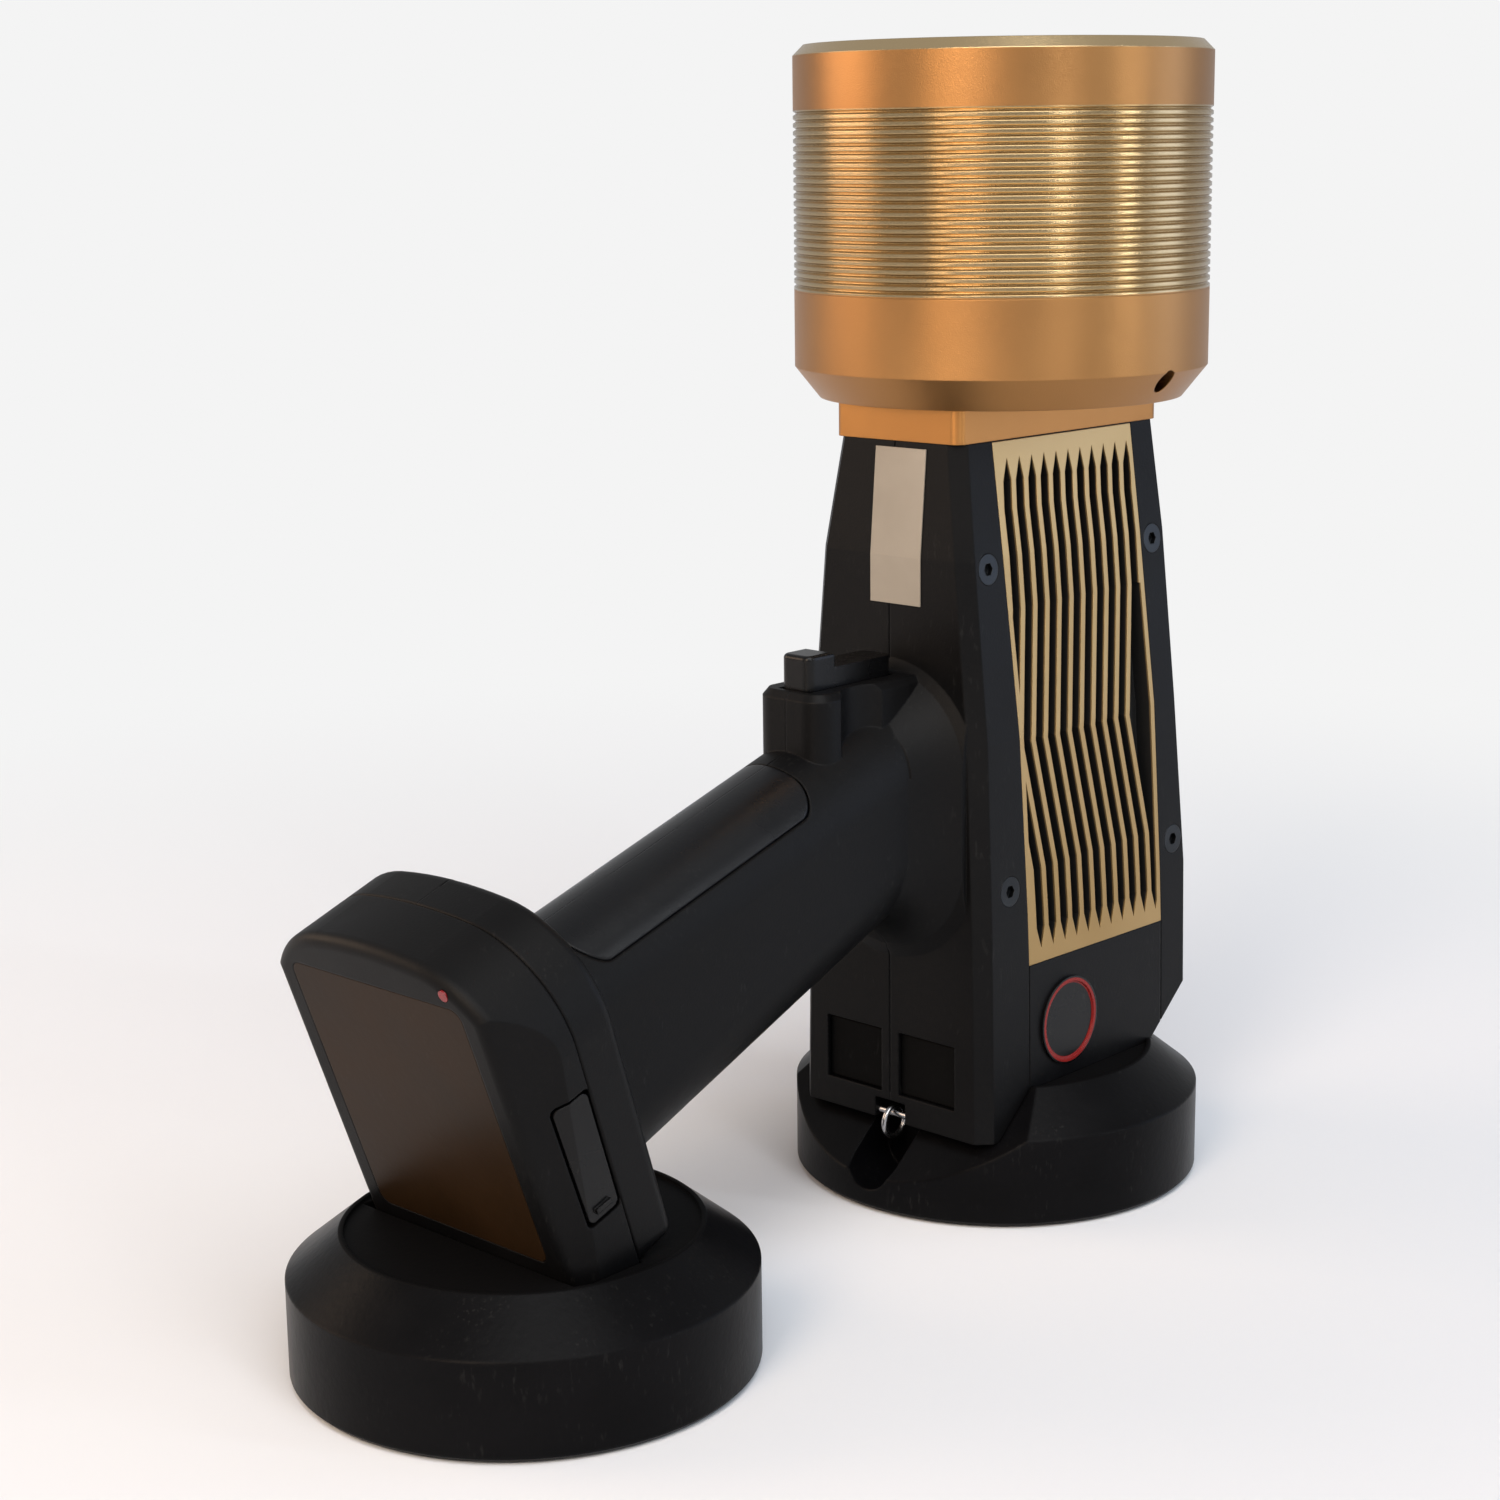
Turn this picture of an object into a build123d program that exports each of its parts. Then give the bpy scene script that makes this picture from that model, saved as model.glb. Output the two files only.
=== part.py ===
from build123d import *
import math
import os

os.makedirs("parts", exist_ok=True)

# Sizes are in millimetres. +Z is the nose, -X the grip side, -Y the left side.

# Clearances
slide_gap = 0.3        # between a moving piece and what it moves in
seat_gap = 0.1         # between a fixed piece and the recess it sits in
bore_gap = 0.05        # radial, for turned pieces in a bore
wall = 2.4             # moulded shell wall

# Cup feet
foot_radius = 47.5
foot_wall_height = 20.7
foot_height = 29.5
foot_rim_radius = 36.5
foot_rim_land = 0.8
foot_floor = 19.2
foot_bottom = 0.4
foot_bottom_chamfer = 1.0
foot_spacing = 151.7
foot_front_angle = 40.0
notch_half_width = 6.5
notch_floor = 5.0
slope_top_x = -22.0
foot_top = 28.7
foot_pad_radius = 40.0
foot_pad_thickness = 1.6

# Barrel outline, side view
front_x = -38.8
back_x = 41.0
rear_z = foot_floor
knee_z = 70.0
neck_z = 150.0
shell_top_z = 175.0
middle_back_x = 37.9
neck_back_x = 37.1
top_front_x = -36.7
top_back_x = 36.8
display_edge_z = 42.9
display_angle = 40.0
corner_bevel = 3.2
inner_bevel = 2.0

# Barrel half widths
rear_half_width = 27.8
knee_half_width = 26.8
middle_z = 110.0
middle_half_width = 25.3
neck_half_width = 21.5
top_half_width = 17.7

# Grip
grip_tilt = 20.0
grip_width = 31.0
grip_top_start = 128.4
grip_top_rise = 0.048
grip_bottom_start = 83.0
grip_bottom_drop = 0.045
grip_root = -18.0
grip_wall = 2.5
grip_pad_start = 36.5
grip_pad_end = 107.0
grip_pad_half_width = 13.5
grip_pad_depth = 1.6
grip_pad_corner = 6.0

# Collar between grip and barrel
collar_top_z = 126.2
collar_bottom_z = 60.0
collar_reach = 17.5
collar_flare = 22.7
collar_rim = 1.2
collar_steps = 5
collar_limit = 22.0
collar_sink = 0.9          # how far its thin end runs inside the grip

# Trigger box and trigger
box_front_x = -72.8
box_half_width = 9.5
box_top_z = 124.6
box_corner = 5.0
box_base_z = 104.0
box_edge = 1.6
scoop_x = -59.0
scoop_y = 15.5
scoop_radius = 9.0
trigger_front_x = -69.9
trigger_back_x = -42.6
lip_length = 8.2
lip_top_z = 132.2
ledge_top_z = 129.0
trigger_half_width = 4.2
trigger_bottom_z = 119.2
trigger_travel = 3.2
stem_front_x = -62.0
stem_back_x = -46.0
stem_half_width = 3.4
flange_half_width = 5.6
flange_reach = 2.0
flange_top_z = 111.6
flange_bottom_z = 109.8
shelf_top_z = 101.0
shelf_thickness = 2.0
shelf_front_x = -66.0
shelf_back_x = -42.0
switch_length = 10.0
switch_half_width = 3.2
switch_gap = 0.3
spring_radius = 2.2
spring_wire = 0.35
spring_turns = 5
trigger_corner = 2.0
trigger_edge = 1.0
switch_knob_height = 1.4
switch_knob_radius = 1.5

# Battery dock and pack
dock_start = 120.5
dock_end = 131.1
dock_bottom = 77.0
dock_bottom_half_width = 31.3
dock_top_half_width = 35.4
dock_shoulder = 148.0
dock_crown = 154.2
dock_shoulder_radius = 22.5
dock_foot_radius = 4.0
dock_edge_fillet = 2.5
joint_chamfer = 0.35
dock_pocket_depth = 5.5
pack_end = 146.4
pack_bottom = 74.4
pack_edge_fillet = 2.5
pack_wall = 2.4
pack_cavity_half_width = 26.2
pack_cavity_top = 141.6
recess_start = 133.0
recess_depth = 6.0
spigot_length = 2.9
inner_plate_floor = 1.4
label_half_width = 24.5
label_bottom = 87.1
label_top = 145.5
label_thickness = 0.6
light_radius = 1.2
light_side = 21.5
light_height = 148.3
cell_radius = 7.0
cell_half_length = 22.5
cell_count = 4
latch_low = 93.0
latch_high = 121.0
latch_start = 131.1
latch_width = 9.2
latch_floor = 28.2
latch_inner = 30.4
latch_groove = 0.7
latch_sink = 0.2
latch_ridge_place = 1.6
latch_ridge_width = 1.1
latch_ridge_half = 2.0
latch_ridge_height = 0.5
latch_spring_radius = 1.8
latch_corner = 1.5
light_length = 2.0
label_corner = 2.5
cell_cap_radius = 3.0
cell_cap_height = 0.6
contact_blades = 5
contact_blade_pitch = 4.0
contact_blade_half = 0.6
contact_half_width = 10.0
contact_low = 134.5
contact_height = 6.0
contact_depth = 3.0

# Heat sink panels
panel_width = 51.0
panel_left_top = -25.3
panel_left_neck = -25.9
panel_left_low = -23.9
panel_low_z = 98.0
panel_left_bottom = -22.4
panel_bottom_z = 57.6
panel_bottom_skew = 0.5
panel_top_z = 174.8
panel_thickness = 6.0
panel_rim = 1.5
slot_depth = 4.4
slot_count = 11
slot_pitch = 4.42
slot_width = 2.9
slot_first = 4.6
slot_top_margin = 3.7
slot_bottom_margin = 3.2
slot_point = 5.0
flange_thickness = 1.8
flange_front_x = -33.0
flange_back_reach = 5.5
flange_low_z = 66.0
flange_high_z = 158.0

# Shell screws: place on the side strips
screw_head_radius = 3.4
screw_shaft_radius = 1.5
screw_head_depth = 1.9
screw_length = 5.0
socket_width = 2.6
socket_depth = 1.2
upper_screw_z = 148.0
lower_screw_z = 76.2
upper_front_screw_x = -31.2
upper_back_screw_x = 29.6
lower_front_screw_x = -28.9
lower_back_screw_x = 33.4

# Nose block and face
nose_top_z = 182.4
nose_corner = 2.5
tip_half_length = 31.0
tip_half_width = 15.4
tip_corner = 4.0
tip_top_z = 198.0
block_front_x = -33.5
block_back_x = 33.0
block_half_width = 11.5
block_low_z = 158.0
tube_tilt = 22.0
tube_tip = 17.6
tube_neck = 34.0
tube_end = 68.0
tube_tip_radius = 5.5
tube_body_radius = 9.0
detector_tilt = 33.0
detector_tip = 12.0
detector_neck = 26.0
detector_end = 43.0
detector_tip_radius = 5.0
detector_body_radius = 8.0
beam_radius = 3.0
wheel_distance = 15.0
wheel_thickness = 1.6
wheel_offset = 10.2
wheel_radius = 13.4
filter_radius = 2.6
filter_count = 6
motor_start = 19.0
motor_length = 12.0
motor_radius = 4.0
shaft_radius = 1.2
camera_x = 24.0
camera_radius = 3.5
camera_length = 13.4
camera_drop = 0.2
camera_window_radius = 2.6
face_thickness = 1.6
window_radius = 6.0
window_ring_radius = 8.5
window_ring_height = 0.8
face_screw_x = 26.5
face_screw_y = 10.8
face_xs = (-face_screw_x, face_screw_x)
face_ys = (-face_screw_y, face_screw_y)
face_screw_head = 2.0
face_screw_shaft = 1.2
face_screw_length = 3.5
face_screw_rise = 1.0
film_thickness = 0.1

# X-ray shield
shield_radius = 46.4
shield_bottom_radius = 40.9
shield_bevel_z = 189.3
shield_seam_z = 206.2
ridge_top_z = 245.3
ridge_count = 23
ridge_depth = 0.7
ridge_land = 0.45
shield_band_z = 257.3
shield_top_z = 259.6
shield_top_radius = 44.1
cover_wall = 3.2
cover_roof = 4.0
spigot_height = 5.0
spigot_wall = 2.6
set_screw_z = 187.4
set_screw_radius = 2.4
set_screw_length = 12.0

# Rear display and keys
display_width = 41.0
display_height = 22.0
glass_rim = 1.0
bezel_width = 50.0
bezel_height = 31.0
bezel_thickness = 1.2
bezel_collar_rim = 2.5
bezel_collar_depth = 3.4
glass_thickness = 1.0
panel_module_thickness = 3.0
key_z = 56.0
key_spacing = 14.0
key_radius = 4.0
key_lip = 1.0
key_lip_thickness = 1.2
key_height = 1.0
key_edge = 0.5
key_travel = 0.7
key_board_gap = 0.2
key_board_thickness = 1.6
key_board_half_width = 21.5
key_board_half_height = 8.0
key_post_radius = 1.6
key_post_y = 20.0
key_post_rise = 6.0

# Ports and lanyard on the barrel's front face
port_low_z = 25.8
port_height = 15.0
port_width = 16.4
port_middle = 10.7
port_recess = 0.9
port_cover_thickness = 1.4
port_pin_radius = 0.5
port_pin_length = 1.2
socket_half_width = 4.6
socket_half_height = 2.2
port_board_x = -27.0
port_board_thickness = 1.6
port_board_middle = 14.5
port_board_width = 13.0
port_bridge_low = 27.5
socket_corner = 1.0
socket_mouth_half_width = 3.8
socket_mouth_half_height = 1.5
port_board_height = 20.0
lanyard_bar_radius = 0.9
lanyard_bar_z = 20.6
lanyard_bar_inset = 1.6
lanyard_ring_radius = 3.6
lanyard_wire_radius = 0.7
lanyard_recess_half_width = 4.5
lanyard_recess_depth = 7.6
lanyard_recess_top = 24.0
lanyard_block_wall = 1.6
lanyard_bar_end = 1.3

# Inner parts on the chassis
chassis_x = 10.0
chassis_thickness = 2.0
chassis_half_width = 14.0
chassis_low_z = 42.0
standoff_height = 3.0
standoff_radius = 1.6
standoff_ys = (-10.0, 10.0)
standoff_inset = 4.0
board_thickness = 1.6
processor_low_z = 62.0
processor_high_z = 150.0
processor_half_width = 12.5
chip_size = 12.0
chip_height = 1.4
chip_places = (78.0, 104.0, 130.0)
coil_depth = 4.0
supply_corner = 2.0
power_low_z = 44.0
power_high_z = 62.0
supply_depth = 24.0
supply_half_width = 13.0
supply_low_z = 66.0
supply_high_z = 126.0
speaker_radius = 9.0
speaker_height = 4.0
speaker_x = -8.0

# Plates and badges
plate_low_z = 139.5
plate_high_z = 173.6
plate_left_y = -9.0
plate_right_y = 5.2
plate_thickness = 0.25
badge_x = -8.1
badge_z = 41.8
badge_radius = 10.2
badge_ring_width = 1.2
badge_thickness = 0.3
badge_ring_height = 0.7
seam_width = 0.3
seam_depth = 0.4
seam_low_z = 23.0
# spans of the middle seam: low x, high x, low z, high z
seam_spans = [
    (-170.0, -76.0, 0.0, 175.0),
    (-42.0, -30.0, 127.0, 176.0),
    (-42.0, -30.0, 26.0, 60.0),
    (30.0, 50.0, 62.0, 176.0),
]

width_stations = [
    (rear_z, rear_half_width),
    (knee_z, knee_half_width),
    (middle_z, middle_half_width),
    (neck_z, neck_half_width),
    (shell_top_z, top_half_width),
]


def half_width(z):
    # half the barrel's outer width at a height, straight between stations
    for (low, start), (high, end) in zip(width_stations, width_stations[1:]):
        if z <= high:
            break
    return start + (end - start) * (z - low) / (high - low)


back_stations = [
    (knee_z, back_x),
    (middle_z, middle_back_x),
    (neck_z, neck_back_x),
    (shell_top_z, top_back_x),
]


def front_face(z):
    # x of the barrel's front face at a height
    share = max(0.0, (z - neck_z) / (shell_top_z - neck_z))
    return front_x + (top_front_x - front_x) * share


def back_face(z):
    # x of the barrel's back face at a height
    if z <= knee_z:
        return back_x
    for (low, start), (high, end) in zip(back_stations, back_stations[1:]):
        if z <= high:
            break
    return start + (end - start) * (z - low) / (high - low)


collar_window_width = display_width + 2 * bezel_collar_rim
collar_window_height = display_height + 2 * bezel_collar_rim
display_low_x = back_x - (display_edge_z - rear_z) / math.tan(math.radians(display_angle))


def barrel_section(z, inset, bevel):
    front = front_face(z) + inset
    back = back_face(z) - inset
    side = half_width(z) - inset
    right = [(front, side - bevel), (front + bevel, side), (back - bevel, side), (back, side - bevel)]
    left = [(x, -y) for x, y in reversed(right)]
    return right + left


def barrel_solid(inset, top, bevel):
    # the barrel's outline drawn in by inset, up to a given top
    slope = math.radians(display_angle)
    edge_x = back_x - inset * math.sin(slope)
    edge_z = display_edge_z + inset * math.cos(slope)
    reach = 2 * back_x
    with BuildPart() as solid:
        for z in (rear_z + inset, knee_z, middle_z, neck_z, top):
            with BuildSketch(Plane.XY.offset(z)):
                Polygon(*barrel_section(z, inset, bevel), align=None)
        loft(ruled=True)
        with BuildSketch(Plane.XZ):
            Polygon(
                (edge_x + reach * math.cos(slope), edge_z + reach * math.sin(slope)),
                (edge_x - reach * math.cos(slope), edge_z - reach * math.sin(slope)),
                (edge_x + reach * math.cos(slope), edge_z - reach * math.sin(slope)),
                align=None,
            )
        extrude(amount=reach, both=True, mode=Mode.SUBTRACT)
    return solid.part


grip_direction = Vector(
    -math.cos(math.radians(grip_tilt)), 0, -math.sin(math.radians(grip_tilt))
)


def grip_plane(distance):
    # across the grip: local x is -Y of the frame, local y runs up the grip's front
    return Plane(origin=grip_direction * distance, x_dir=(0, -1, 0), z_dir=grip_direction)


def grip_top(distance):
    return grip_top_start + grip_top_rise * distance


def grip_bottom(distance):
    return grip_bottom_start - grip_bottom_drop * distance


def grip_solid(start, end, inset):
    # the grip's rounded section, lofted from start to end
    with BuildPart() as solid:
        for distance in (start, end):
            high = grip_top(distance) - inset
            low = grip_bottom(distance) + inset
            with BuildSketch(grip_plane(distance)):
                with Locations((0, (high + low) / 2)):
                    SlotOverall(high - low, grip_width - 2 * inset, rotation=90)
        loft()
    return solid.part


def dock_outline(bottom, inset):
    # closed outline of the battery dock, in a grip plane
    with BuildSketch() as outline:
        with BuildLine():
            arch = ThreePointArc(
                (dock_top_half_width, dock_shoulder),
                (0, dock_crown),
                (-dock_top_half_width, dock_shoulder),
            )
            Polyline(
                arch @ 1,
                (-dock_bottom_half_width, bottom),
                (dock_bottom_half_width, bottom),
                arch @ 0,
            )
        make_face()
        upper = outline.vertices().filter_by(lambda v: v.Y > dock_shoulder - 1)
        fillet(upper, radius=dock_shoulder_radius)
        lower = outline.vertices().filter_by(lambda v: v.Y < bottom + 1)
        fillet(lower, radius=dock_foot_radius)
        if inset:
            offset(amount=-inset)
    return outline.sketch


def dock_prism(start, end, bottom, inset):
    with BuildPart() as solid:
        with BuildSketch(grip_plane(start)):
            add(dock_outline(bottom, inset))
        extrude(amount=end - start)
    return solid.part


def side_plane(x, z, side):
    # on the barrel's side face at a height, facing outward
    step = 0.01
    lean = math.atan((half_width(z - step) - half_width(z + step)) / (2 * step))
    outward = (0, side * math.cos(lean), math.sin(lean))
    return Plane(origin=(x, side * half_width(z), z), x_dir=(1, 0, 0), z_dir=outward)


def skin_solid(side, outer, inner, low, high, front, back):
    # a layer under the barrel's side face, between two depths
    knees = [z for z, width in width_stations if low < z < high]
    heights = [low] + knees + [high]
    outward = [(side * (half_width(z) - outer), z) for z in heights]
    inward = [(side * (half_width(z) - inner), z) for z in reversed(heights)]
    with BuildPart() as solid:
        with BuildSketch(Plane.YZ.offset(front)):
            Polygon(*outward, *inward, align=None)
        extrude(amount=back - front)
    return solid.part


# Heat sink panels: outline, slots and the shell window share these functions

panel_path = [
    (panel_left_top, panel_top_z),
    (panel_left_neck, neck_z),
    (panel_left_low, panel_low_z),
    (panel_left_bottom, panel_bottom_z),
]

fin_stations = [
    (panel_top_z, 0.4),
    (160.0, -1.4),
    (138.4, -1.5),
    (108.7, -5.3),
    (79.5, 1.8),
    (panel_bottom_z - panel_bottom_skew, 3.1),
]


def fin_shift(z):
    # sideways run of the zigzag fins at a height
    for (high, start), (low, end) in zip(fin_stations, fin_stations[1:]):
        if z >= low:
            break
    return start + (end - start) * (z - high) / (low - high)


def panel_sketch(inset):
    # the panel's outline drawn in by inset: local x runs back, local y runs up
    left = [(x + inset, z) for x, z in panel_path]
    right = [(x + panel_width - inset, z) for x, z in reversed(panel_path)]
    left[0] = (left[0][0], panel_top_z - inset)
    right[-1] = (right[-1][0], panel_top_z - inset)
    left[-1] = (left[-1][0], panel_bottom_z + inset)
    right[0] = (right[0][0], panel_bottom_z - panel_bottom_skew + inset)
    with BuildSketch() as outline:
        Polygon(*left, *right, align=None)
    return outline.sketch


def slot_points(number):
    # one zigzag slot with pointed ends
    middle = panel_left_top + slot_first + slot_pitch * number
    high = panel_top_z - slot_top_margin
    share = (middle + fin_shift(panel_bottom_z) - panel_left_bottom) / panel_width
    low = panel_bottom_z - panel_bottom_skew * share + slot_bottom_margin
    bends = [z for z, shift in fin_stations[1:-1]]
    heights = [high - slot_point] + bends + [low + slot_point]
    left = [(middle + fin_shift(z) - slot_width / 2, z) for z in heights]
    right = [(x + slot_width, z) for x, z in reversed(left)]
    top_point = (middle + fin_shift(high), high)
    low_point = (middle + fin_shift(low), low)
    return [top_point] + left + [low_point] + right


def gap_points():
    # the open triangle between the last fin and the panel's back rim
    last = panel_left_top + slot_first + slot_pitch * (slot_count - 1)
    bends = [z for z, shift in fin_stations[2:-1]]
    near = [(last + fin_shift(z), z) for z in bends]
    far = [(panel_left_low + 2 * panel_width, z) for z in reversed(bends)]
    return near + far


def heat_sink_solid(side):
    low = panel_bottom_z - 2 * panel_bottom_skew
    with BuildPart() as slots:
        with BuildSketch(Plane.XZ):
            for number in range(slot_count):
                Polygon(*slot_points(number), align=None)
            Polygon(*gap_points(), align=None)
            add(panel_sketch(panel_rim), mode=Mode.INTERSECT)
        extrude(amount=2 * rear_half_width, both=True)
        add(skin_solid(side, -1, slot_depth, low, shell_top_z, front_x, back_x), mode=Mode.INTERSECT)
    with BuildPart() as solid:
        with BuildSketch(Plane.XZ):
            add(panel_sketch(seat_gap))
        extrude(amount=2 * rear_half_width, both=True)
        layer = skin_solid(side, 0, panel_thickness, low, panel_top_z, front_x, back_x)
        add(layer, mode=Mode.INTERSECT)
        depth = wall + seat_gap
        add(
            skin_solid(
                side,
                depth,
                depth + flange_thickness,
                flange_low_z,
                flange_high_z,
                flange_front_x,
                panel_left_top + panel_width + flange_back_reach,
            )
        )
        add(slots.part, mode=Mode.SUBTRACT)
        for x, z in screw_places:
            with Locations(side_plane(x, z, side)):
                Cylinder(screw_shaft_radius + bore_gap, 4 * wall, mode=Mode.SUBTRACT)
    return solid.part


screw_places = [
    (upper_front_screw_x, upper_screw_z),
    (upper_back_screw_x, upper_screw_z),
    (lower_front_screw_x, lower_screw_z),
    (lower_back_screw_x, lower_screw_z),
]

# Feet

lanyard_bar_x = front_x + lanyard_bar_inset
notch_end_x = lanyard_bar_x + lanyard_ring_radius + 2 * lanyard_wire_radius + slide_gap


def foot_solid():
    land = foot_rim_radius - foot_rim_land
    with BuildPart() as solid:
        with BuildSketch(Plane.XZ):
            Polygon(
                (0, foot_bottom),
                (foot_radius - foot_bottom_chamfer, foot_bottom),
                (foot_radius, foot_bottom + foot_bottom_chamfer),
                (foot_radius, foot_wall_height),
                (foot_rim_radius, foot_height),
                (land, foot_height),
                (land, foot_top),
                (0, foot_top),
                align=None,
            )
        revolve(axis=Axis.Z)
        with Locations((0, 0, foot_pad_thickness / 2)):
            Cylinder(foot_pad_radius + seat_gap, foot_pad_thickness, mode=Mode.SUBTRACT)
    return solid.part


with BuildPart() as barrel_room:
    # the barrel's outline with clearance, down to the face it stands on
    add(barrel_solid(-slide_gap, shell_top_z, corner_bevel))
    with Locations((0, 0, foot_floor)):
        Box(
            4 * foot_radius,
            2 * foot_radius,
            2 * foot_height,
            align=(Align.CENTER, Align.CENTER, Align.MIN),
            mode=Mode.INTERSECT,
        )

with BuildPart() as barrel_foot:
    add(foot_solid())
    # sloped cut under the barrel's front face
    slope_run = (foot_height - notch_floor) / math.tan(math.radians(foot_front_angle))
    with BuildSketch(Plane.XZ):
        Polygon(
            (slope_top_x, foot_height),
            (slope_top_x, 2 * foot_height),
            (slope_top_x - slope_run, 2 * foot_height),
            (slope_top_x - slope_run, notch_floor),
            align=None,
        )
    extrude(amount=foot_radius, both=True, mode=Mode.SUBTRACT)
    add(barrel_room.part, mode=Mode.SUBTRACT)
    # lanyard notch
    with BuildSketch(Plane.YZ.offset(-foot_radius - 1)):
        with BuildLine():
            round_z = notch_floor + notch_half_width
            bottom = ThreePointArc(
                (-notch_half_width, round_z), (0, notch_floor), (notch_half_width, round_z)
            )
            Polyline(
                bottom @ 1,
                (notch_half_width, 2 * foot_height),
                (-notch_half_width, 2 * foot_height),
                bottom @ 0,
            )
        make_face()
    extrude(amount=foot_radius + 1 + notch_end_x, mode=Mode.SUBTRACT)
barrel_foot.part.label = "barrel_foot"
export_step(barrel_foot.part, "parts/barrel_foot.step")

with BuildPart() as battery_foot:
    add(foot_solid().moved(Location((-foot_spacing, 0, 0))))
    # tilted pocket for the dock's and the pack's lower ends
    lower_dock = dock_prism(dock_start - slide_gap, dock_end, dock_bottom, -slide_gap)
    lower_pack = dock_prism(dock_end - slide_gap, pack_end + slide_gap, pack_bottom, -slide_gap)
    add(lower_dock, mode=Mode.SUBTRACT)
    add(lower_pack, mode=Mode.SUBTRACT)
battery_foot.part.label = "battery_foot"
export_step(battery_foot.part, "parts/battery_foot.step")

with BuildPart() as barrel_foot_pad:
    with Locations((0, 0, foot_pad_thickness / 2)):
        Cylinder(foot_pad_radius, foot_pad_thickness)
barrel_foot_pad.part.label = "barrel_foot_pad"
export_step(barrel_foot_pad.part, "parts/barrel_foot_pad.step")

with BuildPart() as battery_foot_pad:
    with Locations((-foot_spacing, 0, foot_pad_thickness / 2)):
        Cylinder(foot_pad_radius, foot_pad_thickness)
battery_foot_pad.part.label = "battery_foot_pad"
export_step(battery_foot_pad.part, "parts/battery_foot_pad.step")

# Housing: one hollow body, split at the middle into two shells

grip_half = grip_width / 2
grip_up = Vector(-math.sin(math.radians(grip_tilt)), 0, math.cos(math.radians(grip_tilt)))


def strap_plane(height):
    # seen along the grip's front direction: local x runs along the grip, local y is -Y
    return Plane(origin=grip_up * height, x_dir=grip_direction, z_dir=grip_up)



def grip_edge(x, start, slope):
    # height of the grip's top or bottom edge where it crosses a vertical plane at x
    tilt = math.radians(grip_tilt)
    distance = -(x + start * math.sin(tilt)) / (math.cos(tilt) + slope * math.sin(tilt))
    return (start + slope * distance) * math.cos(tilt) - distance * math.sin(tilt)


def flare(x):
    # how far the collar stands out from the grip: an arc tangent to the grip's side
    run = max(0.0, x - (front_x - collar_reach))
    return collar_flare - math.sqrt(collar_flare**2 - run**2)


def collar_section(x, extra):
    share = flare(x) / flare(front_x)
    high = grip_edge(x, grip_top_start, grip_top_rise)
    low = grip_edge(x, grip_bottom_start, -grip_bottom_drop)
    high += (collar_top_z - grip_edge(front_x, grip_top_start, grip_top_rise)) * share + extra
    low += (collar_bottom_z - grip_edge(front_x, grip_bottom_start, -grip_bottom_drop)) * share - extra
    with BuildSketch(Plane(origin=(x, 0, (high + low) / 2), x_dir=(0, -1, 0), z_dir=(-1, 0, 0))) as ring:
        SlotOverall(high - low, grip_width + 2 * (flare(x) + extra), rotation=90)
    return ring.sketch


with BuildPart() as collar:
    # flared body, then a bevelled rim against the barrel
    for step in range(collar_steps + 1):
        rest = 1 - step / collar_steps
        x = front_x - collar_rim - (collar_reach - collar_rim) * rest
        add(collar_section(x, -bore_gap - collar_sink * rest))
    loft()
    for x, extra in ((front_x - collar_rim, 0), (front_x, collar_rim), (front_x + wall, collar_rim)):
        add(collar_section(x, extra))
    loft(ruled=True)
    # its sides stop at the edge of the barrel's front face
    with Locations((front_x - collar_reach, 0, collar_top_z / 2)):
        Box(2 * collar_reach + 2 * wall, 2 * collar_limit, 2 * collar_top_z, mode=Mode.INTERSECT)

with BuildPart() as trigger_box:
    with BuildSketch(Plane.XY.offset(box_base_z)) as plan:
        Rectangle(front_x - box_front_x, 2 * box_half_width)
        fillet(plan.vertices().group_by(Axis.X)[0], box_corner)
    extrude(amount=box_top_z - box_edge - box_base_z)
    extrude(plan.sketch.moved(Location((0, 0, box_top_z - box_edge - box_base_z))), amount=box_edge, taper=40)
trigger_box.part = trigger_box.part.moved(Location(((front_x + box_front_x) / 2, 0, 0)))

with BuildPart() as dock:
    add(dock_prism(dock_start, dock_end, dock_bottom, 0))
    dock_faces = dock.faces().sort_by(lambda f: f.center().dot(grip_direction))
    fillet(dock_faces[0].edges(), dock_edge_fillet)
    chamfer(dock.faces().sort_by(lambda f: f.center().dot(grip_direction))[-1].edges(), joint_chamfer)

pad_middle = (grip_pad_start + grip_pad_end) / 2
pad_length = grip_pad_end - grip_pad_start


def pad_solid(inset, outer, inner):
    # a layer on the grip's front strap, between two depths
    with BuildPart() as solid:
        add(grip_solid(grip_root, dock_start, outer))
        add(grip_solid(grip_root - 1, dock_start + 1, inner), mode=Mode.SUBTRACT)
        with BuildSketch(strap_plane(grip_top_start - grip_half)):
            with Locations((pad_middle, 0)):
                RectangleRounded(
                    pad_length - 2 * inset, 2 * (grip_pad_half_width - inset), grip_pad_corner
                )
        extrude(amount=2 * grip_width, mode=Mode.INTERSECT)
    return solid.part


key_lip_x = back_x - wall - slide_gap
key_board_x = key_lip_x - key_lip_thickness - key_travel - key_board_gap
key_places = [-key_spacing, 0, key_spacing]
key_posts = [(y, z) for y in (-key_post_y, key_post_y) for z in (key_z - key_post_rise, key_z + key_post_rise)]

slope_angle = math.radians(display_angle)
display_plane = Plane(
    origin=((display_low_x + back_x) / 2, 0, (rear_z + display_edge_z) / 2),
    x_dir=(0, 1, 0),
    z_dir=(math.sin(slope_angle), 0, -math.cos(slope_angle)),
)

port_pivot_x = front_x + port_recess + port_cover_thickness / 2
port_pivot_z = port_low_z + port_height - slide_gap - port_cover_thickness / 2
screw_head_room = screw_head_radius + seat_gap

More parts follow.
